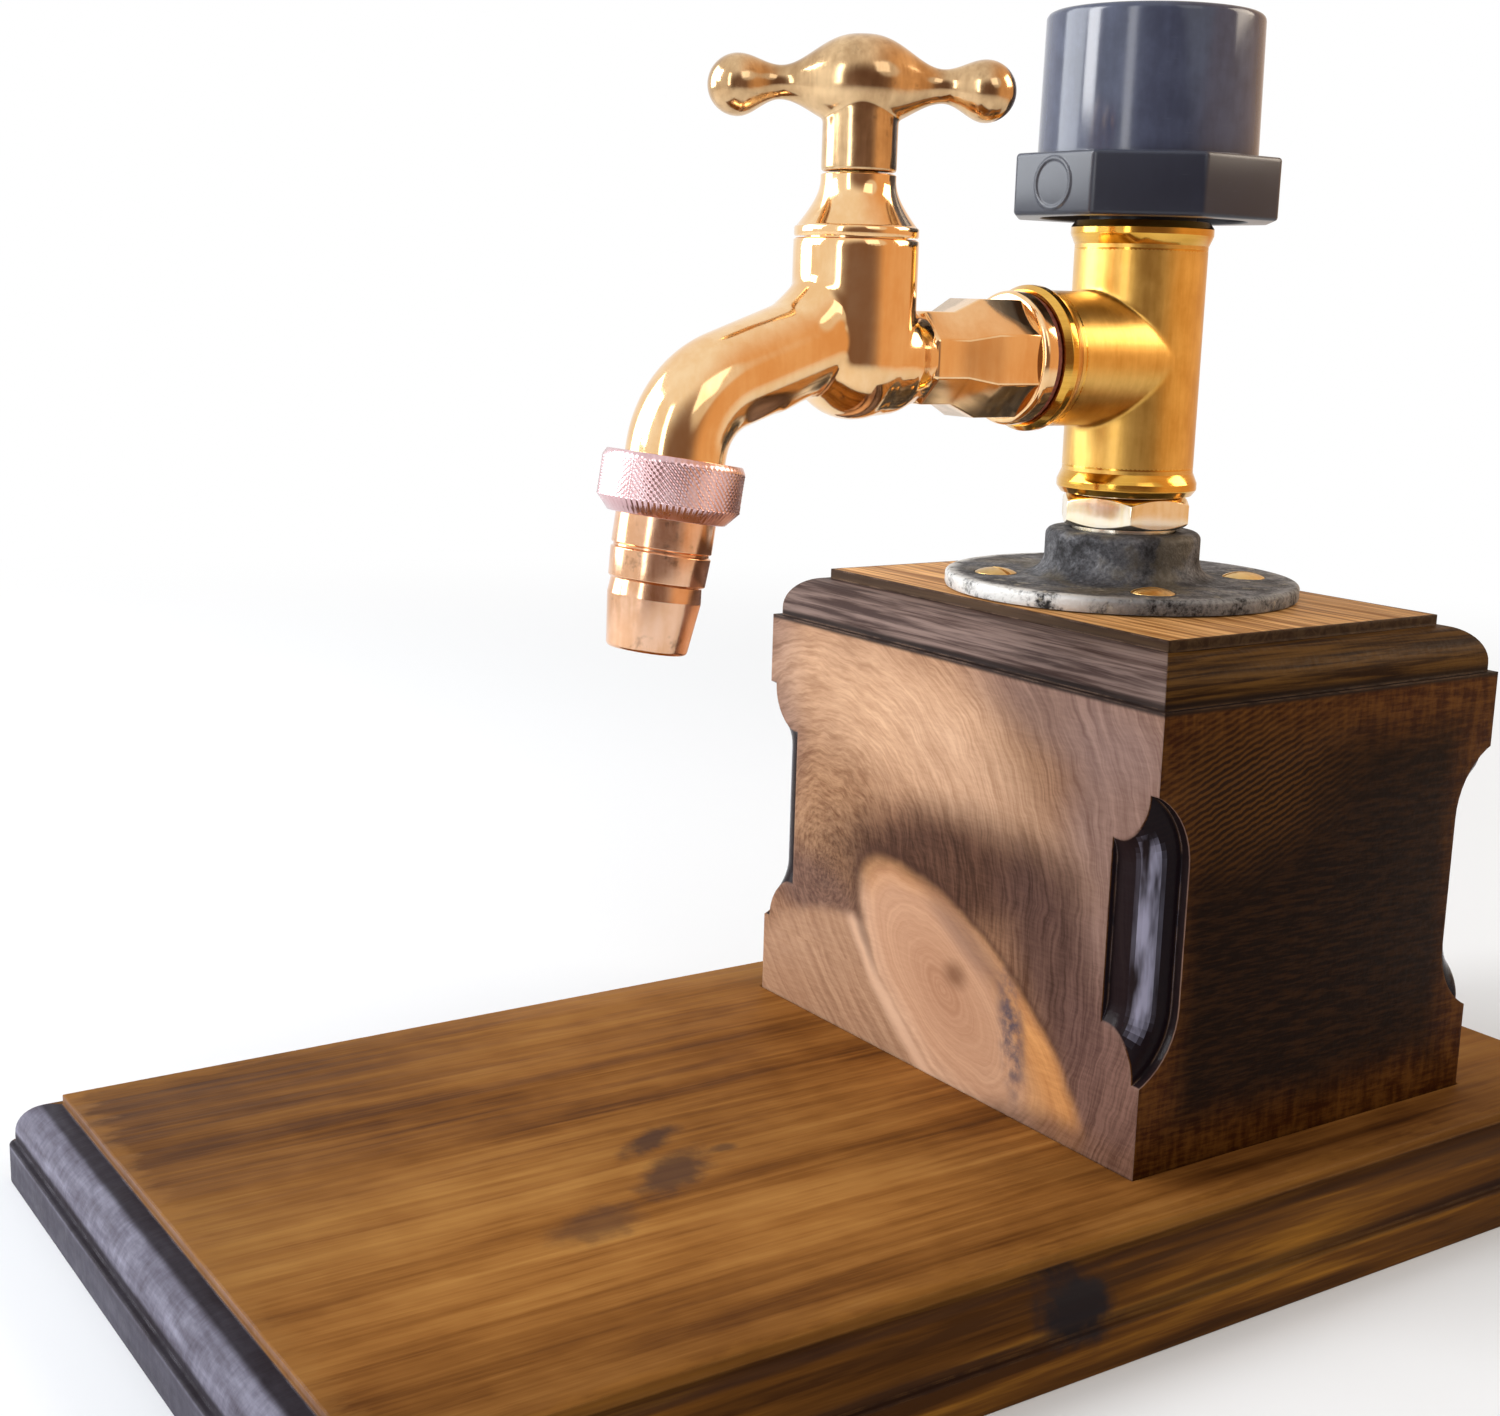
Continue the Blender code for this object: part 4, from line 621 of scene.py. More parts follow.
    smoke = g.blob((0.0120, 0.0480), (0.0150, 0.0030), 0.8, small, math.radians(-28))[0]
    heart = g.mix(g.maths("MULTIPLY", smoke, 0.6), heart, (0.19, 0.115, 0.095))
    line = g.maths("MULTIPLY", g.span(oval_far, 0.99, 1.03), g.span(oval_far, 1.16, 1.05))
    line = g.maths("MULTIPLY", line, g.span(z, 0.030, 0.040))
    face = g.mix(g.maths("MULTIPLY", g.maths("MULTIPLY", line, ahead), 0.6), face, (0.055, 0.024, 0.016))
    face = g.mix(g.maths("MULTIPLY", oval, ahead), face, heart)
    return zone(face, (0.040, 0.0165), (0.034, 0.0050), 6, 0.8, (0.085, 0.036, 0.022), (0.230, 0.120, 0.080), 0.5)


def paint_side(g, inset_y):
    """The stained sides: nearly black inside an orange-brown border, with slanting saw marks."""
    x, y, z = g.axes()
    cloud = g.maths("SUBTRACT", g.noise(scale=60, detail=4.0), 0.5)
    inset = g.maths("MINIMUM", g.maths("SUBTRACT", z, BLOCK_BASE), g.maths("SUBTRACT", 0.1025, z))
    inset = g.maths("MULTIPLY_ADD", cloud, 0.010, g.maths("MINIMUM", inset_y, inset))
    core = g.span(inset, 0.0030, 0.0150)
    fine = g.noise(g.mapped((300, 160, 1500), turn=(0.05, 0, 0)), 1.0, 4.0, 0.6)
    upright = g.noise(g.mapped((500, 500, 130)), 1.0, 4.0, 0.6)
    mixed = g.maths("MULTIPLY_ADD", fine, 0.5, g.maths("MULTIPLY", upright, 0.5))
    edge = g.mix(g.span(mixed, 0.38, 0.64), (0.034, 0.0075, 0.0010), (0.110, 0.038, 0.0060))
    dark = g.mix(g.span(fine, 0.40, 0.68), (0.007, 0.0022, 0.0005), (0.026, 0.0090, 0.0018))
    side = g.mix(core, edge, dark)
    saw = g.node("TexWave", wave_type="BANDS", bands_direction="Z", wave_profile="SIN")
    g.feed(saw.inputs["Vector"], g.mapped((1, 1, 1), turn=(-0.36, 0, 0)))
    for name, number in (("Scale", 260), ("Distortion", 3.0), ("Detail", 3.0), ("Detail Scale", 1.5)):
        saw.inputs[name].default_value = number
    cuts = g.maths("MULTIPLY", g.blob((0.036, 0.088), (0.022, 0.014), 0.8, cloud, 0.2, plane="yz")[0], 0.75)
    return g.mix(cuts, side, g.mix(g.span(saw.outputs["Fac"], 0.2, 0.9), (0.018, 0.006, 0.001), (0.105, 0.038, 0.006)))


def make_lamps():
    make_lamp("key", (-0.506, -1.19, 0.76), (0, 0.03, 0.18), 0.36, 0.80, 12, (0.97, 0.98, 1.0))
    make_lamp("left", (-0.98, -0.86, 0.60), (0, 0, 0.14), 0.75, 1.1, 14, (0.92, 0.96, 1.0))
    make_lamp("strip", (0.487, -1.145, 0.50), (0, 0.06, 0.20), 0.20, 1.0, 2.5)
    make_lamp("rear", (0.55, 1.15, 0.80), (0, 0, 0.12), 0.7, 0.6, 8, (1.0, 0.88, 0.72))
    make_lamp("fill", (1.25, -0.10, 0.95), (0, 0, 0.10), 0.6, 0.6, 1.2)


# Pieces

def cove(height):
    """The routed edge as (inset, level) from the ledge up to the top."""
    radius, ledge, flat, drop, low = 6.8 * MM, 1.4 * MM, 0.4 * MM, 2.0 * MM, 1.6 * MM
    centre = (ledge + radius, height - drop - radius)
    points = [(ledge, centre[1] - low), (ledge, centre[1])]
    points += arc(centre, radius, 180, 90, 12)[1:]
    points += [(ledge + radius + flat, height - drop), (ledge + radius + flat, height)]
    return points


def slab(width, length, height, corner=0.0):
    """A routed slab from level zero; its corners below the ledge may be rounded."""
    rings = []
    depth = 10.4 * MM
    stations = [(0.0, 0.0), (0.0, height - depth)] + [(inset, level) for inset, level in cove(height)[1:]]
    stations.insert(2, (1.4 * MM, height - depth))
    for inset, level in stations:
        size = corner if inset == 0 else 0.0
        points = []
        for quarter, (sx, sy) in enumerate(((1, 1), (-1, 1), (-1, -1), (1, -1))):
            centre = (sx * (width / 2 - inset - size), sy * (length / 2 - inset - size))
            points += [Vector((px, py, level)) for px, py in arc(centre, size, quarter * 90, quarter * 90 + 90, 6)]
        rings.append(points)
    shape = skin(rings)
    bmesh.ops.remove_doubles(shape, verts=shape.verts, dist=1e-7)
    bmesh.ops.dissolve_degenerate(shape, edges=shape.edges, dist=1e-7)
    bmesh.ops.recalc_face_normals(shape, faces=shape.faces)
    return shape


def bead(x_side, y_side):
    """The bit's path down one upright corner of the block, as a cutter."""
    bearing = 6.35 * MM
    low, high = 31.0 * MM, 56.5 * MM
    axis_y = y_side * (BLOCK_DEPTH / 2 + bearing)
    cut = 8.6 * MM
    stations = [(cut, -OVERRUN), (cut, 2.0 * MM)]
    centre = (1.4 * MM + 6.8 * MM, 2.0 * MM + 6.8 * MM)
    stations += arc(centre, 6.8 * MM, 270, 180, 12)
    stations.append((1.4 * MM, 10.4 * MM))
    rings = []
    for inset, depth in stations:
        outline = arc((axis_y, high), bearing + inset, 0, 180, 24)
        outline += arc((axis_y, low), bearing + inset, 180, 360, 24)
        x = x_side * (BLOCK_WIDTH / 2 - depth)
        rings.append([Vector((x, y, level)) for y, level in outline])
    shape = skin(rings)
    shape.transform(Matrix.Translation((0, STACK_Y, BLOCK_BASE)))
    return shape


def make_woodwork(looks):
    block = thing("moulded_block", merged([slab(BLOCK_WIDTH, BLOCK_DEPTH, BLOCK_TOP - BLOCK_BASE)]))
    block.data.transform(Matrix.Translation((0, STACK_Y, BLOCK_BASE)))
    for x_side in (-1, 1):
        for y_side in (-1, 1):
            boolean(block, "DIFFERENCE", bead(x_side, y_side))
    board = thing("moulded_board", merged([slab(BOARD_WIDTH, BOARD_LENGTH, BOARD_THICK, 3 * MM)]))
    housing = skin([
        [Vector((sx * (BLOCK_WIDTH / 2 + GAP), STACK_Y + sy * (BLOCK_DEPTH / 2 + GAP), level))
         for sx, sy in ((1, 1), (-1, 1), (-1, -1), (1, -1))]
        for level in (BOARD_THICK - HOUSING_DEPTH, BOARD_THICK + OVERRUN)])
    boolean(board, "DIFFERENCE", housing)
    for x_side in (-1, 1):
        for y_side in (-1, 1):
            place = Matrix.Translation((x_side * 0.03825, STACK_Y + y_side * 0.0245, 0))
            hole = [(0, -OVERRUN), (4.8 * MM, -OVERRUN), (4.8 * MM, 0.5 * MM), (2.4 * MM, 2.9 * MM)]
            hole += [(2.4 * MM, 41 * MM), (0, 41 * MM)]
            boolean(board, "DIFFERENCE", lathe(hole, 32, place=place))
            boolean(block, "DIFFERENCE", lathe(hole, 32, place=place))
    soften_edges(block, 0.30 * MM)
    soften_edges(board, 0.30 * MM)
    dress(block, looks["block"], "stand", ["block"])
    dress(board, looks["board"], "stand", ["base_board"])


def make_flange(looks):
    bore, radius, hub = 10.6 * MM, 35.2 * MM, 15.4 * MM
    points = [(bore, 0), (radius - 0.2 * MM, 0), (radius, 0.5 * MM), (radius, 3 * MM), (19.4 * MM, 3 * MM)]
    points += arc((19.4 * MM, 7 * MM), 4 * MM, 270, 180, 8)
    points += [(hub, 12.2 * MM), (bore, 12.2 * MM)]
    last = len(points) - 1
    line = rounded(points, {3: 0.9 * MM, last - 1: 1.5 * MM})
    place = Matrix.Translation((0, STACK_Y, FLANGE_BASE))
    flange = thing("cast_flange", merged([lathe(line, 128, loop=True, place=place)]))
    for number in range(4):
        angle = math.radians(60 + 90 * number)
        spot = Vector((25.4 * MM * math.cos(angle), STACK_Y + 25.4 * MM * math.sin(angle), FLANGE_BASE + 3 * MM))
        hole = [(0, OVERRUN), (4.7 * MM, OVERRUN), (4.5 * MM, 0), (2.1 * MM, -2.4 * MM), (2.1 * MM, -6 * MM), (0, -6 * MM)]
        boolean(flange, "DIFFERENCE", lathe(hole, 40, place=Matrix.Translation(spot)))
        make_flange_screw(looks, number + 1, spot, angle * (number + 1))
    dress(flange, looks["iron"], "stand", ["floor_flange"])


def make_flange_screw(looks, number, spot, turn):
    dome = [(0, 1.0 * MM), (1.2 * MM, 0.93 * MM), (2.4 * MM, 0.70 * MM), (3.5 * MM, 0.36 * MM), (4.15 * MM, 0.02 * MM)]
    line = dome + [(4.2 * MM, -0.15 * MM), (1.8 * MM, -2.4 * MM), (1.8 * MM, -14 * MM), (0, -17 * MM)]
    screw = thing(f"brass_screw_{number}", merged([lathe(line, 48, place=Matrix.Translation(spot))]))
    slot = bmesh.new()
    size = Matrix.Diagonal((12 * MM, 1.0 * MM, 2.4 * MM, 1))
    place = Matrix.Translation(spot + Vector((0, 0, 1 * MM))) @ Matrix.Rotation(turn, 4, "Z")
    bmesh.ops.create_cube(slot, size=1, matrix=place @ size)
    boolean(screw, "DIFFERENCE", slot)
    dress(screw, looks["brass"], "stand", [f"flange_screw_{number}"])


def make_nipple(looks):
    """Hexagon with the turned chamfers that a lathe leaves on its corners."""
    turn = math.radians(21.3)
    levels = [(0.0, 125.6 * MM), (0.0, 131.8 * MM)]
    hexagon = thing("nipple_hexagon", merged([prism(23.8 * MM, levels, 6, turn, STACK_PLACE)]))
    wide, flat = 13.9 * MM, 11.5 * MM
    cone = [(0, 125.6 * MM), (flat, 125.6 * MM), (wide, 127.0 * MM), (wide, 130.4 * MM), (flat, 131.8 * MM), (0, 131.8 * MM)]
    boolean(hexagon, "INTERSECT", lathe(cone, ROUND, place=STACK_PLACE))
    soften_edges(hexagon, 0.15 * MM, 2)
    threads = [(0, 113.8 * MM), (9.3 * MM, 113.8 * MM), (10.3 * MM, 114.8 * MM), (10.3 * MM, 141.8 * MM)]
    threads += [(9.3 * MM, 142.8 * MM), (0, 142.8 * MM)]
    boolean(hexagon, "UNION", lathe(threads, ROUND, place=STACK_PLACE))
    dress(hexagon, looks["nickel"], "stand", ["hex_nipple"], angle=20)


def band_ring(radius, end, direction, place):
    """A tee's turned end: groove, flared band and rounded lip."""
    band = 4.4 * MM
    wide = radius + 0.9 * MM
    groove = 0.4 * MM
    d = direction
    points = [
        (radius - 3 * MM, end - d * (band + 1.6 * MM)), (radius - 0.02 * MM, end - d * (band + 1.6 * MM)),
        (radius + 0.01 * MM, end - d * (band + 2 * groove)), (radius - groove, end - d * (band + groove)),
        (radius + 0.1 * MM, end - d * band), (wide, end - d * 2.5 * MM), (wide, end - d * 1.2 * MM),
        (wide - 0.9 * MM, end), (10.6 * MM, end), (10.6 * MM, end - d * 2 * MM), (radius - 3 * MM, end - d * 2 * MM)]
    if d < 0:
        points.reverse()
        marks = {5: 0.5 * MM, 4: 0.5 * MM}
    else:
        marks = {5: 0.5 * MM, 6: 0.5 * MM}
    return lathe(rounded(points, marks), ROUND, loop=True, place=place)


def make_tee(looks):
    half = 26.35 * MM
    centre = Matrix.Translation((0, STACK_Y, BRANCH_LEVEL))
    run = [(0, -half + 1 * MM), (12.9 * MM, -half + 1 * MM), (12.9 * MM, half - 1 * MM), (0, half - 1 * MM)]
    branch = [(0, 0), (12.8 * MM, 0), (12.8 * MM, 28.6 * MM), (0, 28.6 * MM)]
    core = fused(
        "tee_casting", [lathe(run, ROUND, place=centre), lathe(branch, ROUND, place=centre @ TOWARD_TAP)],
        0.40 * MM, 4)
    dress(core, looks["tee"], "stand", ["tee_body"], angle=60)
    bands = merged([
        band_ring(12.9 * MM, -half, -1, centre), band_ring(12.9 * MM, half, 1, centre),
        band_ring(12.8 * MM, 29.8 * MM, 1, centre @ TOWARD_TAP)])
    dress(thing("tee_bands", bands), looks["band"], "stand")


def make_socket(looks):
    place = Matrix.Translation((0, STACK_Y, COLLAR_BASE))
    top = SOCKET_TOP - COLLAR_BASE
    collar_top = COLLAR_TOP - COLLAR_BASE
    points = [
        (7.5 * MM, -11 * MM), (9.3 * MM, -11 * MM), (10.3 * MM, -10 * MM), (10.3 * MM, 2 * MM), (20.9 * MM, 2 * MM),
        (21.05 * MM, collar_top), (20.65 * MM, top), (16.5 * MM, top), (16.5 * MM, top - 29 * MM),
        (9.5 * MM, top - 29 * MM), (7.5 * MM, top - 34 * MM)]
    tube_shape = lathe(rounded(points, {6: 1.3 * MM, 7: 0.8 * MM}), 128, loop=True, place=place)
    turn = math.radians(1.9) + math.pi / 8
    levels = [(0.0, 0.0), (0.0, collar_top)]
    collar = thing("collar_tool", merged([prism(49.4 * MM, levels, 8, turn, place)]))
    soften_edges(collar, 0.7 * MM, 4)
    well = [(0, -OVERRUN), (20.0 * MM, -OVERRUN), (20.0 * MM, collar_top + OVERRUN), (0, collar_top + OVERRUN)]
    boolean(collar, "DIFFERENCE", lathe(well, 128, place=place))
    mark = ring_mark(math.radians(-88.1), 24.7 * MM, COLLAR_BASE + collar_top / 2)
    collar_shape = bmesh.new()
    collar_shape.from_mesh(collar.data)
    bpy.data.objects.remove(collar, do_unlink=True)
    socket = thing("plastic_socket", merged([tube_shape, collar_shape, mark]))
    dress(socket, looks["plastic"], "stand", ["bottle_socket"])


def ring_mark(direction, reach, level):
    """A plain raised ring on one facet of the collar."""
    line = [(4.2 * MM, -0.4 * MM), (4.9 * MM, -0.4 * MM), (4.9 * MM, 0.0), (4.75 * MM, 0.22 * MM), (4.35 * MM, 0.22 * MM), (4.2 * MM, 0.0)]
    outward = Vector((math.cos(direction), math.sin(direction), 0))
    place = Matrix.Translation(Vector((0, STACK_Y, level)) + outward * reach)
    place = place @ Matrix.Rotation(direction, 4, "Z") @ Matrix.Rotation(math.pi / 2, 4, "Y")
    return lathe(line, 48, loop=True, place=place)


def spout_path():
    """Centre line of the spout, with its tangents."""
    fall = Vector((0, -math.cos(math.radians(20)), -math.sin(math.radians(20))))
    down = Vector((0, -math.sin(HOSE_TILT), -math.cos(HOSE_TILT)))
    root = Vector((0, -5.6 * MM, 3.6 * MM))
    end = Vector((0, -HOSE_REACH, -HOSE_DROP))
    way = end - root
    along = (way.y * down.z - way.z * down.y) / (fall.y * down.z - fall.z * down.y)
    corner = root + fall * along
    bend = fall.angle(down)
    radius = 15 * MM
    start = corner - fall * radius * math.tan(bend / 2)
    inward = Vector((0, fall.z, -fall.y))
    centre = start - inward * radius
    points = [(root + (start - root) * step / 6, fall) for step in range(6)]
    for step in range(25):
        turn = Matrix.Rotation(bend * step / 24, 3, "X")
        points.append((centre + turn @ (inward * radius), turn @ fall))
    points.append((end - down * 3 * MM, down))
    return points


def tube(path, radii):
    rings = []
    for (point, tangent), radius in zip(path, radii):
        across = Vector((1, 0, 0))
        upward = across.cross(tangent)
        angles = [math.tau * side / 72 for side in range(72)]
        rings.append([point + radius * (math.cos(a) * across + math.sin(a) * upward) for a in angles])
    return skin(rings)


def make_tap(looks):
    barrel = [(0, -11.15 * MM)] + arc((0, 0), 11.15 * MM, -90, 0, 24)[1:]
    barrel += [(11.15 * MM, 19.9 * MM), (10.9 * MM, 20.5 * MM), (0, 20.5 * MM)]
    reach = 69.4 * MM - 29.8 * MM - 0.9 * MM - 2 * GAP
    face = reach - 2.9 * MM
    collar = [(0, reach), (12.5 * MM, reach)]
    collar += arc((11.3 * MM, face + 1.2 * MM), 1.2 * MM, 0, -90, 6) + [(0, face)]
    spanner = face - 9.8 * MM
    slim = (21.6 - 16.7) / 2 * MM
    octagon = [(slim + 0.6 * MM, 12.6 * MM), (slim, 13.4 * MM), (slim, spanner - 5 * MM), (0, spanner), (0, face + 1 * MM)]
    path = spout_path()
    spout = tube(path, [8.7 * MM] * len(path))
    spout.transform(TAP_PLACE)
    web = [Vector((0, -2.5, 12)) * MM, Vector((0, -6.5, 3.4)) * MM, Vector((0, -20, -2.8)) * MM]
    steps = []
    for step in range(21):
        first, second = web[0].lerp(web[1], step / 20), web[1].lerp(web[2], step / 20)
        steps.append((first.lerp(second, step / 20), (second - first).normalized()))
    gusset = tube(steps, [7.9 * MM + 0.5 * MM * math.sin(math.pi * n / len(steps)) for n in range(len(steps))])
    gusset.transform(TAP_PLACE)
    root = [(0, 4 * MM), (10.6 * MM, 4 * MM), (10.2 * MM, 8 * MM), (8.9 * MM, 11 * MM), (8.1 * MM, 13.5 * MM), (8.0 * MM, 18 * MM), (0, 18 * MM)]
    casting = fused(
        "tap_casting", [lathe(barrel, ROUND, place=TAP_PLACE), spout, gusset,
                        lathe(root, ROUND, place=TAP_PLACE @ TOWARD_TEE)], 0.40 * MM, 30)
    top = [(0, 17 * MM), (11.1 * MM, 17 * MM), (11.1 * MM, 20.2 * MM), (10.8 * MM, 20.5 * MM), (0, 20.5 * MM)]
    boolean(casting, "UNION", lathe(top, ROUND, place=TAP_PLACE))
    inlet = thing("inlet_tool", merged([prism(21.6 * MM, octagon, 8, math.pi / 8)]))
    soften_edges(inlet, 0.35 * MM)
    inlet_shape = bmesh.new()
    inlet_shape.from_mesh(inlet.data)
    inlet_shape.transform(TAP_PLACE @ TOWARD_TEE)
    bpy.data.objects.remove(inlet, do_unlink=True)
    boolean(casting, "UNION", inlet_shape)
    boolean(casting, "UNION", lathe(collar, ROUND, place=TAP_PLACE @ TOWARD_TEE))
    thread = [(0, -2 * MM), (8.6 * MM, -2 * MM), (9.6 * MM, 0), (10.3 * MM, 0.4 * MM), (10.3 * MM, 4.4 * MM), (9.6 * MM, 4.9 * MM), (0, 4.9 * MM)]
    boolean(casting, "UNION", lathe(thread, ROUND, place=HOSE_PLACE))
    dress(casting, looks["tap"], "stand", ["tap_body"], angle=50)


def make_bonnet(looks):
    wide, neck, low = 11.05 * MM, 6.65 * MM, 20.8 * MM
    points = [(5.2 * MM, low - 9 * MM), (9.25 * MM, low - 9 * MM), (9.25 * MM, low), (wide - 0.2 * MM, low), (wide, low + 0.3 * MM), (wide, low + 1.5 * MM)]
    points.append((wide - 0.15 * MM, low + 1.75 * MM))
    slope = wide - 0.35 * MM - neck
    for step in range(25):
        share = step / 24
        drop = (1 - share) ** 2.2 * 0.72 + 0.28 * (0.5 + 0.5 * math.cos(math.pi * share))
        points.append((neck + slope * drop, low + 1.8 * MM + 8.2 * MM * share))
    points += [(neck, 31.4 * MM), (neck - 0.2 * MM, 31.6 * MM), (5.2 * MM, 31.6 * MM), (5.2 * MM, 24.5 * MM), (5.2 * MM, 20 * MM)]
    dress(thing("bonnet_dome", merged([lathe(points, ROUND, loop=True, place=TAP_PLACE)])),
          looks["tap"], "stand", ["bonnet"], angle=40)


def make_handle(looks):
    level, ball, waist, drop = 47.3 * MM, 5.35 * MM, 2.9 * MM, 1.1 * MM
    waist_reach, ball_reach = 14.2 * MM, 21.6 * MM
    rings = []
    stations = [waist_reach * step / 30 for step in range(30)]
    stations += [waist_reach + (ball_reach - waist_reach) * step / 16 for step in range(16)]
    stations += [ball_reach + ball * math.sin(math.pi / 2 * step / 20) for step in range(20)] + [ball_reach + ball]
    for reach in [-value for value in reversed(stations[1:])] + stations:
        far = abs(reach)
        middle = level - drop
        if far >= stations[-1]:
            rings.append([Vector((0, reach, middle))])
            continue
        if far >= ball_reach:
            half_width = half_height = math.sqrt(max(ball ** 2 - (far - ball_reach) ** 2, 0))
        elif far >= waist_reach:
            share = (far - waist_reach) / (ball_reach - waist_reach)
            half_width = half_height = waist + (ball - waist) * (0.5 - 0.5 * math.cos(math.pi * share))
            middle += 0.6 * MM * (0.5 + 0.5 * math.cos(math.pi * share))
        else:
            boss = 0.5 + 0.5 * math.cos(math.pi * (far / waist_reach) ** 1.25)
            half_width = waist + (7.6 * MM - waist) * boss
            half_height = waist + (8.0 * MM - waist) * boss
            middle += 0.6 * MM + (drop - 0.6 * MM) * boss
        angles = [math.tau * side / 64 for side in range(64)]
        rings.append([Vector((half_width * math.cos(a), reach, middle + half_height * math.sin(a))) for a in angles])
    bar = skin(rings)
    bar.transform(TAP_PLACE @ Matrix.Rotation(math.radians(-34), 4, "Z"))
    base = 31.9 * MM
    hub = [(0, base), (6.4 * MM, base), (6.65 * MM, base + 0.3 * MM), (6.65 * MM, 44 * MM), (0, 46 * MM)]
    handle = fused("tee_handle", [bar, lathe(hub, ROUND, place=TAP_PLACE)], 0.26 * MM, 14)
    dress(handle, looks["handle"], "handle", ["handle"], angle=60)


def make_hose_end(looks):
    wide, half = 12.4 * MM, 5.2 * MM
    sides = 360
    rows = [(10.6 * MM, half, 0), (10.9 * MM, half, 0), (11.5 * MM, half, 0), (11.75 * MM, half - 0.08 * MM, 0)]
    rows += [(wide - 0.1 * MM, half - 1.1 * MM, 0.3), (wide, half - 1.25 * MM, 1)]
    steps = 30
    top, low = half - 1.35 * MM, 2.6 * MM - half
    rows += [(wide, top + (low - top) * step / steps, 1) for step in range(steps + 1)]
    rows += [(wide - 0.08 * MM, 2.45 * MM - half, 0.3), (10.25 * MM, 0.12 * MM - half, 0), (9.95 * MM, -half, 0)]
    rows += [(9.0 * MM, -half, 0), (9.0 * MM, 1.8 * MM - half, 0), (10.6 * MM, 1.8 * MM - half, 0)]
    rings = []
    for radius, level, knurl in rows:
        points = []
        for side in range(sides):
            angle = math.tau * side / sides
            lean = level / (1.05 * MM)
            one = abs(((angle * 72 / math.tau + lean) % 1) - 0.5) * 2
            two = abs(((angle * 72 / math.tau - lean) % 1) - 0.5) * 2
            depth = knurl * (0.24 * MM * one + 0.10 * MM * two)
            points.append(Vector(((radius - depth) * math.cos(angle), (radius - depth) * math.sin(angle), level)))
        rings.append(points)
    nut = skin(rings, loop=True)
    nut.transform(HOSE_PLACE)
    dress(thing("knurled_nut", merged([nut])), looks["nut"], "hose_nut", ["hose_nut"], angle=50)
    top = -1.6 * MM
    points = [
        (5.0 * MM, top), (10.3 * MM, top), (10.3 * MM, top - 1.5 * MM), (8.7 * MM, top - 1.5 * MM),
        (8.7 * MM, -10.3 * MM), (8.3 * MM, -10.6 * MM), (8.3 * MM, -10.9 * MM), (8.7 * MM, -11.2 * MM),
        (8.4 * MM, -16.0 * MM), (7.9 * MM, -16.4 * MM), (8.15 * MM, -19.0 * MM), (7.0 * MM, -28.2 * MM),
        (5.0 * MM, -28.2 * MM)]
    line = rounded(points, {4: 0.15 * MM, 7: 0.15 * MM, 8: 0.25 * MM, 10: 1.2 * MM, 11: 0.8 * MM, 12: 0.5 * MM})
    dress(thing("hose_tail_barb", merged([lathe(line, ROUND, loop=True, place=HOSE_PLACE)])),
          looks["barb"], "hose_tail", ["hose_barb"], angle=40)


# Setting

def make_lamp(name, place, aim, width, height, watts, colour=(1, 1, 1)):
    light = bpy.data.lights.new(name, "AREA")
    light.shape = "RECTANGLE"
    light.size = width
    light.size_y = height
    light.energy = watts
    light.color = colour
    lamp = bpy.data.objects.new(name, light)
    bpy.context.scene.collection.objects.link(lamp)
    lamp.location = place
    lamp.rotation_euler = (Vector(aim) - Vector(place)).to_track_quat("-Z", "Y").to_euler()


def seen(g, *kinds):
    """1 for the named kinds of ray."""
    path = g.node("LightPath")
    total = path.outputs[kinds[0]]
    for kind in kinds[1:]:
        total = g.maths("MAXIMUM", total, path.outputs[kind])
    return total


def make_room(g, way):
    """The white room that metal shows: one side is warm, and the end that the photo was taken from is dim."""
    def lobe(colour, axis, low, high, tint, share):
        near = g.span(g.vector("DOT_PRODUCT", way, Vector(axis).normalized()), low, high)
        return g.mix(g.maths("MULTIPLY", near, share), colour, tint)

    room = lobe((1.0, 1.0, 1.0), (0.56, 0.83, 0.05), -0.10, 0.80, (0.78, 0.40, 0.12), 0.85)
    room = lobe(room, (0.86, -0.45, -0.05), 0.62, 0.96, (0.200, 0.120, 0.090), 0.97)
    room = lobe(room, (0.86, 0.05, 0.45), 0.93, 0.97, (0.90, 0.88, 0.85), 0.8)
    return g.mix(seen(g, "Is Camera Ray"), room, (1.0, 1.0, 1.0))


def make_world():
    world = bpy.data.worlds.new("studio")
    bpy.context.scene.world = world
    world.use_nodes = True
    g = Graph("studio", world.node_tree)
    room = make_room(g, g.node("TexCoord").outputs["Generated"])
    soft, white = g.node("Background"), g.node("Background")
    soft.inputs[0].default_value = (0.93, 0.95, 1.0, 1)
    soft.inputs[1].default_value = 0.40
    g.feed(white.inputs[0], room)
    choose = g.node("MixShader")
    g.feed(choose.inputs[0], seen(g, "Is Camera Ray", "Is Glossy Ray", "Is Transmission Ray"))
    g.feed(choose.inputs[1], soft.outputs[0])
    g.feed(choose.inputs[2], white.outputs[0])
    g.feed(g.node("OutputWorld").inputs[0], choose.outputs[0])


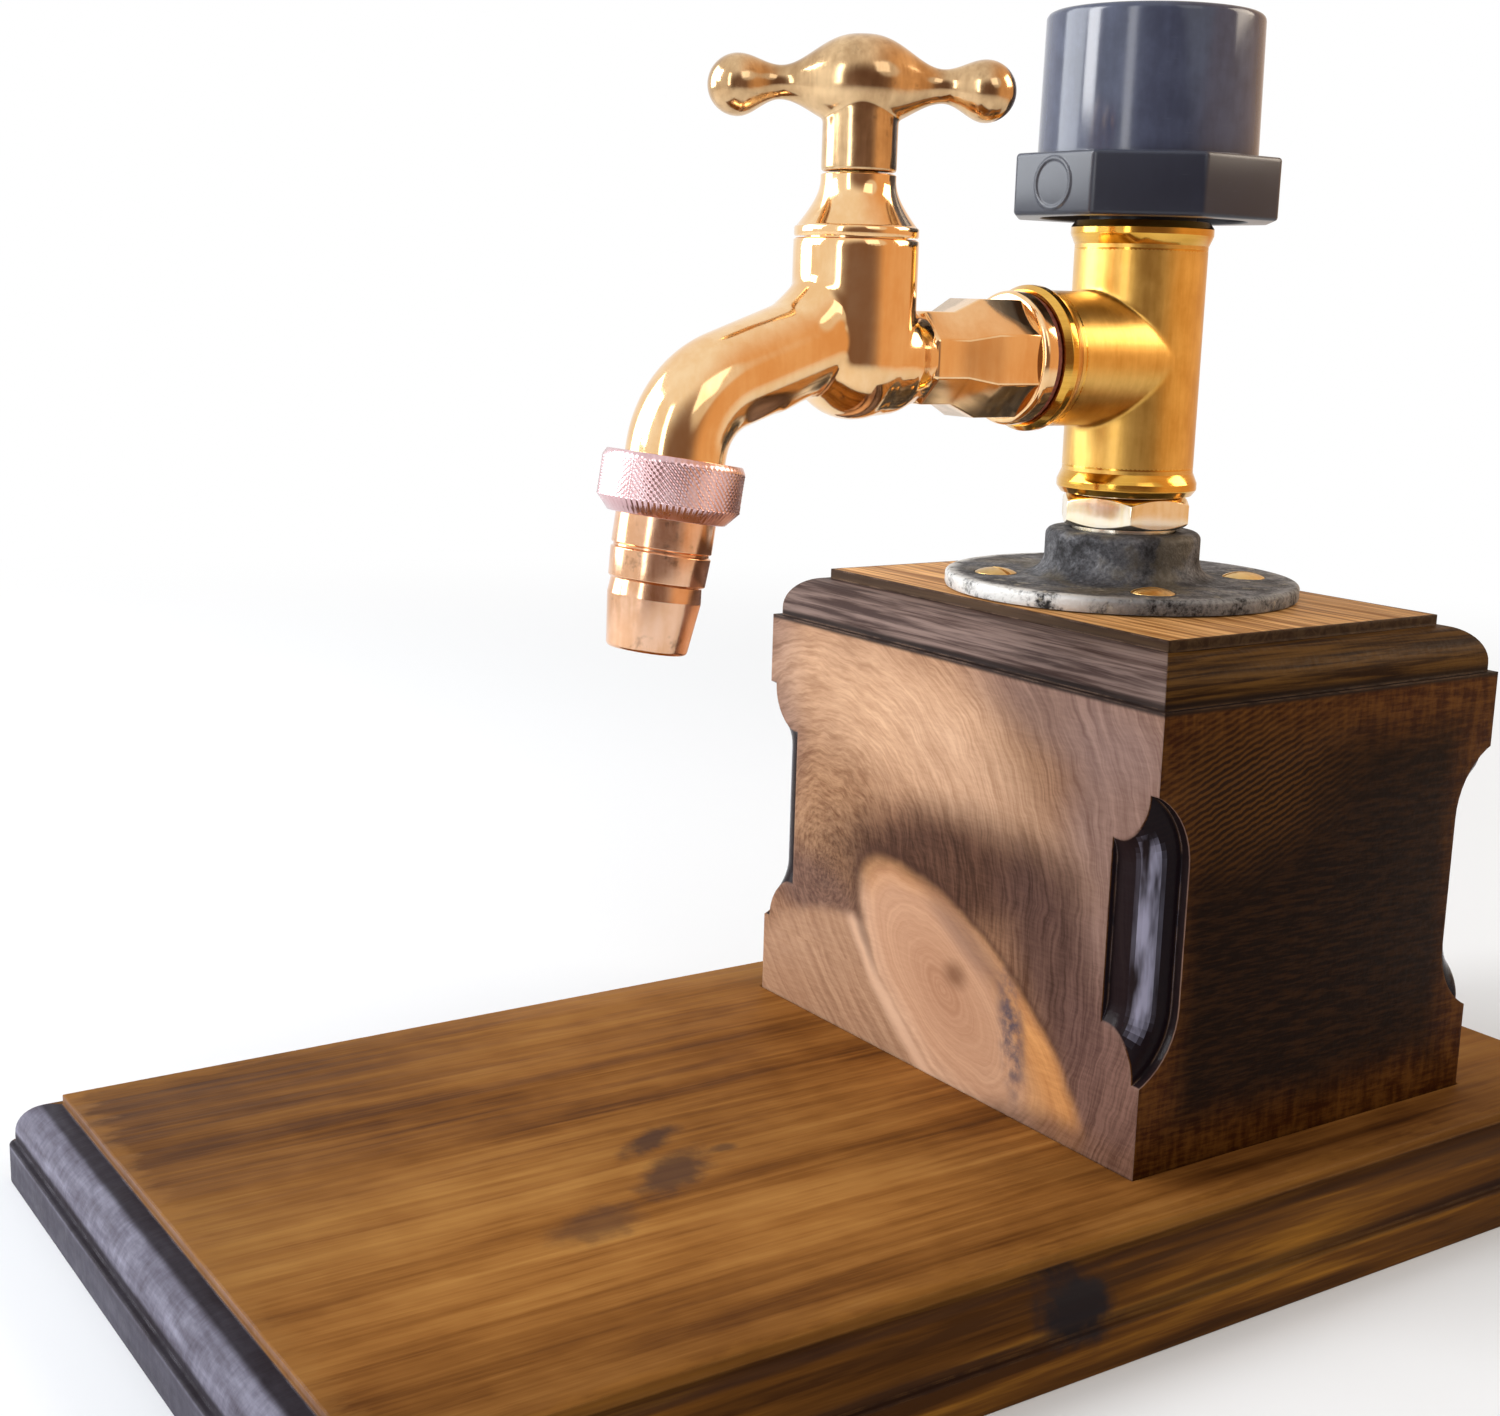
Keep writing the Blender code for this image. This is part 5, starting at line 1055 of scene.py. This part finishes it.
def make_floor():
    g = Graph("pale_floor")
    away = g.vector("LENGTH", g.here())
    far = g.maths("MULTIPLY", g.span(away, 0.30, 0.95), seen(g, "Is Camera Ray", "Is Glossy Ray", "Is Transmission Ray"))
    glow = g.node("Emission")
    g.feed(glow.inputs[0], make_room(g, g.vector("NORMALIZE", g.here())))
    glow.inputs[1].default_value = 1.0
    choose = g.node("MixShader")
    g.feed(choose.inputs[0], far)
    g.done((0.93, 0.93, 0.93), 0.9, Specular_IOR_Level=0.0)
    g.feed(choose.inputs[1], g.surface.outputs[0])
    g.feed(choose.inputs[2], glow.outputs[0])
    g.feed(g.tree.nodes["Material Output"].inputs[0], choose.outputs[0])
    shape = bmesh.new()
    bmesh.ops.create_grid(shape, x_segments=1, y_segments=1, size=30)
    floor = thing("floor", merged([shape]))
    floor.data.materials.append(g.material)


def make_camera():
    azimuth, pitch, roll = (math.radians(angle) for angle in (55.94, 11.59, 1.61))
    forward = Vector((-math.sin(azimuth) * math.cos(pitch), math.cos(azimuth) * math.cos(pitch), -math.sin(pitch)))
    right = Vector((math.cos(azimuth), math.sin(azimuth), 0))
    up = right.cross(forward)
    tilted_right = math.cos(roll) * right + math.sin(roll) * up
    tilted_up = math.cos(roll) * up - math.sin(roll) * right
    data = bpy.data.cameras.new("camera")
    data.sensor_width = 36
    data.lens = 48.456
    data.clip_start = 0.01
    camera = bpy.data.objects.new("camera", data)
    bpy.context.scene.collection.objects.link(camera)
    turn = Matrix((tilted_right, tilted_up, -forward)).transposed().to_4x4()
    camera.matrix_world = Matrix.Translation((0.2943, -0.2282, 0.1690)) @ turn
    bpy.context.scene.camera = camera


def make_looks():
    tee_brush = (900, 900, 120)
    turned = (60, 60, 2600)
    return {
        "board": make_board_wood(),
        "block": make_block_wood(),
        "iron": make_iron(),
        "plastic": make_plastic(),
        "tee": make_metal("satin_brass", (0.80, 0.48, 0.110), (0.62, 0.325, 0.045), 0.28, 0.40, 0.00004, 0.6, tee_brush, film=0.32),
        "band": make_metal("turned_brass", (0.82, 0.47, 0.085), (0.64, 0.32, 0.035), 0.10, 0.20, 0.00002, 0.3, turned),
        "tap": make_metal("copper_gold", (0.94, 0.66, 0.37), (0.86, 0.52, 0.235), 0.06, 0.14, 0.000004, 0.15),
        "handle": make_metal("copper_gold_handled", (0.80, 0.55, 0.30), (0.46, 0.28, 0.135), 0.10, 0.20, 0.000006, 0.1, dirt=0.3),
        "barb": make_metal("copper_gold_worn", (0.92, 0.60, 0.42), (0.72, 0.39, 0.21), 0.12, 0.24, 0.000015, 0.1, dirt=0.4),
        "nut": make_metal("pink_knurl", (0.84, 0.60, 0.63), (0.64, 0.40, 0.41), 0.18, 0.32, 0.00001, 0.2),
        "nickel": make_metal("nickel_brass", (0.95, 0.89, 0.78), (0.86, 0.70, 0.42), 0.14, 0.24, 0.000008, 0.1),
        "brass": make_metal("screw_brass", (0.78, 0.54, 0.22), (0.46, 0.28, 0.09), 0.28, 0.46, 0.00002, dirt=0.7),
        "steel": make_metal("screw_steel", (0.62, 0.62, 0.62), (0.40, 0.40, 0.41), 0.30, 0.48, 0.00002, dirt=0.3),
        "rubber": make_matt("black_rubber", (0.012, 0.012, 0.012), (0.035, 0.035, 0.035), 900),
        "fibre": make_matt("red_fibre", (0.16, 0.035, 0.02), (0.32, 0.085, 0.05), 1200),
    }


def repaint(looks):
    """The frame's own nodes that stay in view or inside get their materials."""
    slots = {
        "steel": ["board_screw_1", "board_screw_2", "board_screw_3", "board_screw_4", "handle_grub_screw"],
        "brass": ["gland_bush", "jumper_valve", "valve_nut", "spindle"],
        "rubber": ["socket_seal", "valve_washer", "hose_washer"],
        "fibre": ["inlet_seal", "packing_ring"],
    }
    for look, names in slots.items():
        for name in names:
            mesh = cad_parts[name].data
            mesh.materials.clear()
            mesh.materials.append(looks[look])


def main():
    looks = make_looks()
    repaint(looks)
    make_woodwork(looks)
    make_flange(looks)
    make_nipple(looks)
    make_tee(looks)
    make_socket(looks)
    make_tap(looks)
    make_bonnet(looks)
    make_handle(looks)
    make_hose_end(looks)
    make_world()
    make_floor()
    make_lamps()
    make_camera()
    bpy.context.scene.view_settings.view_transform = "Standard"


main()
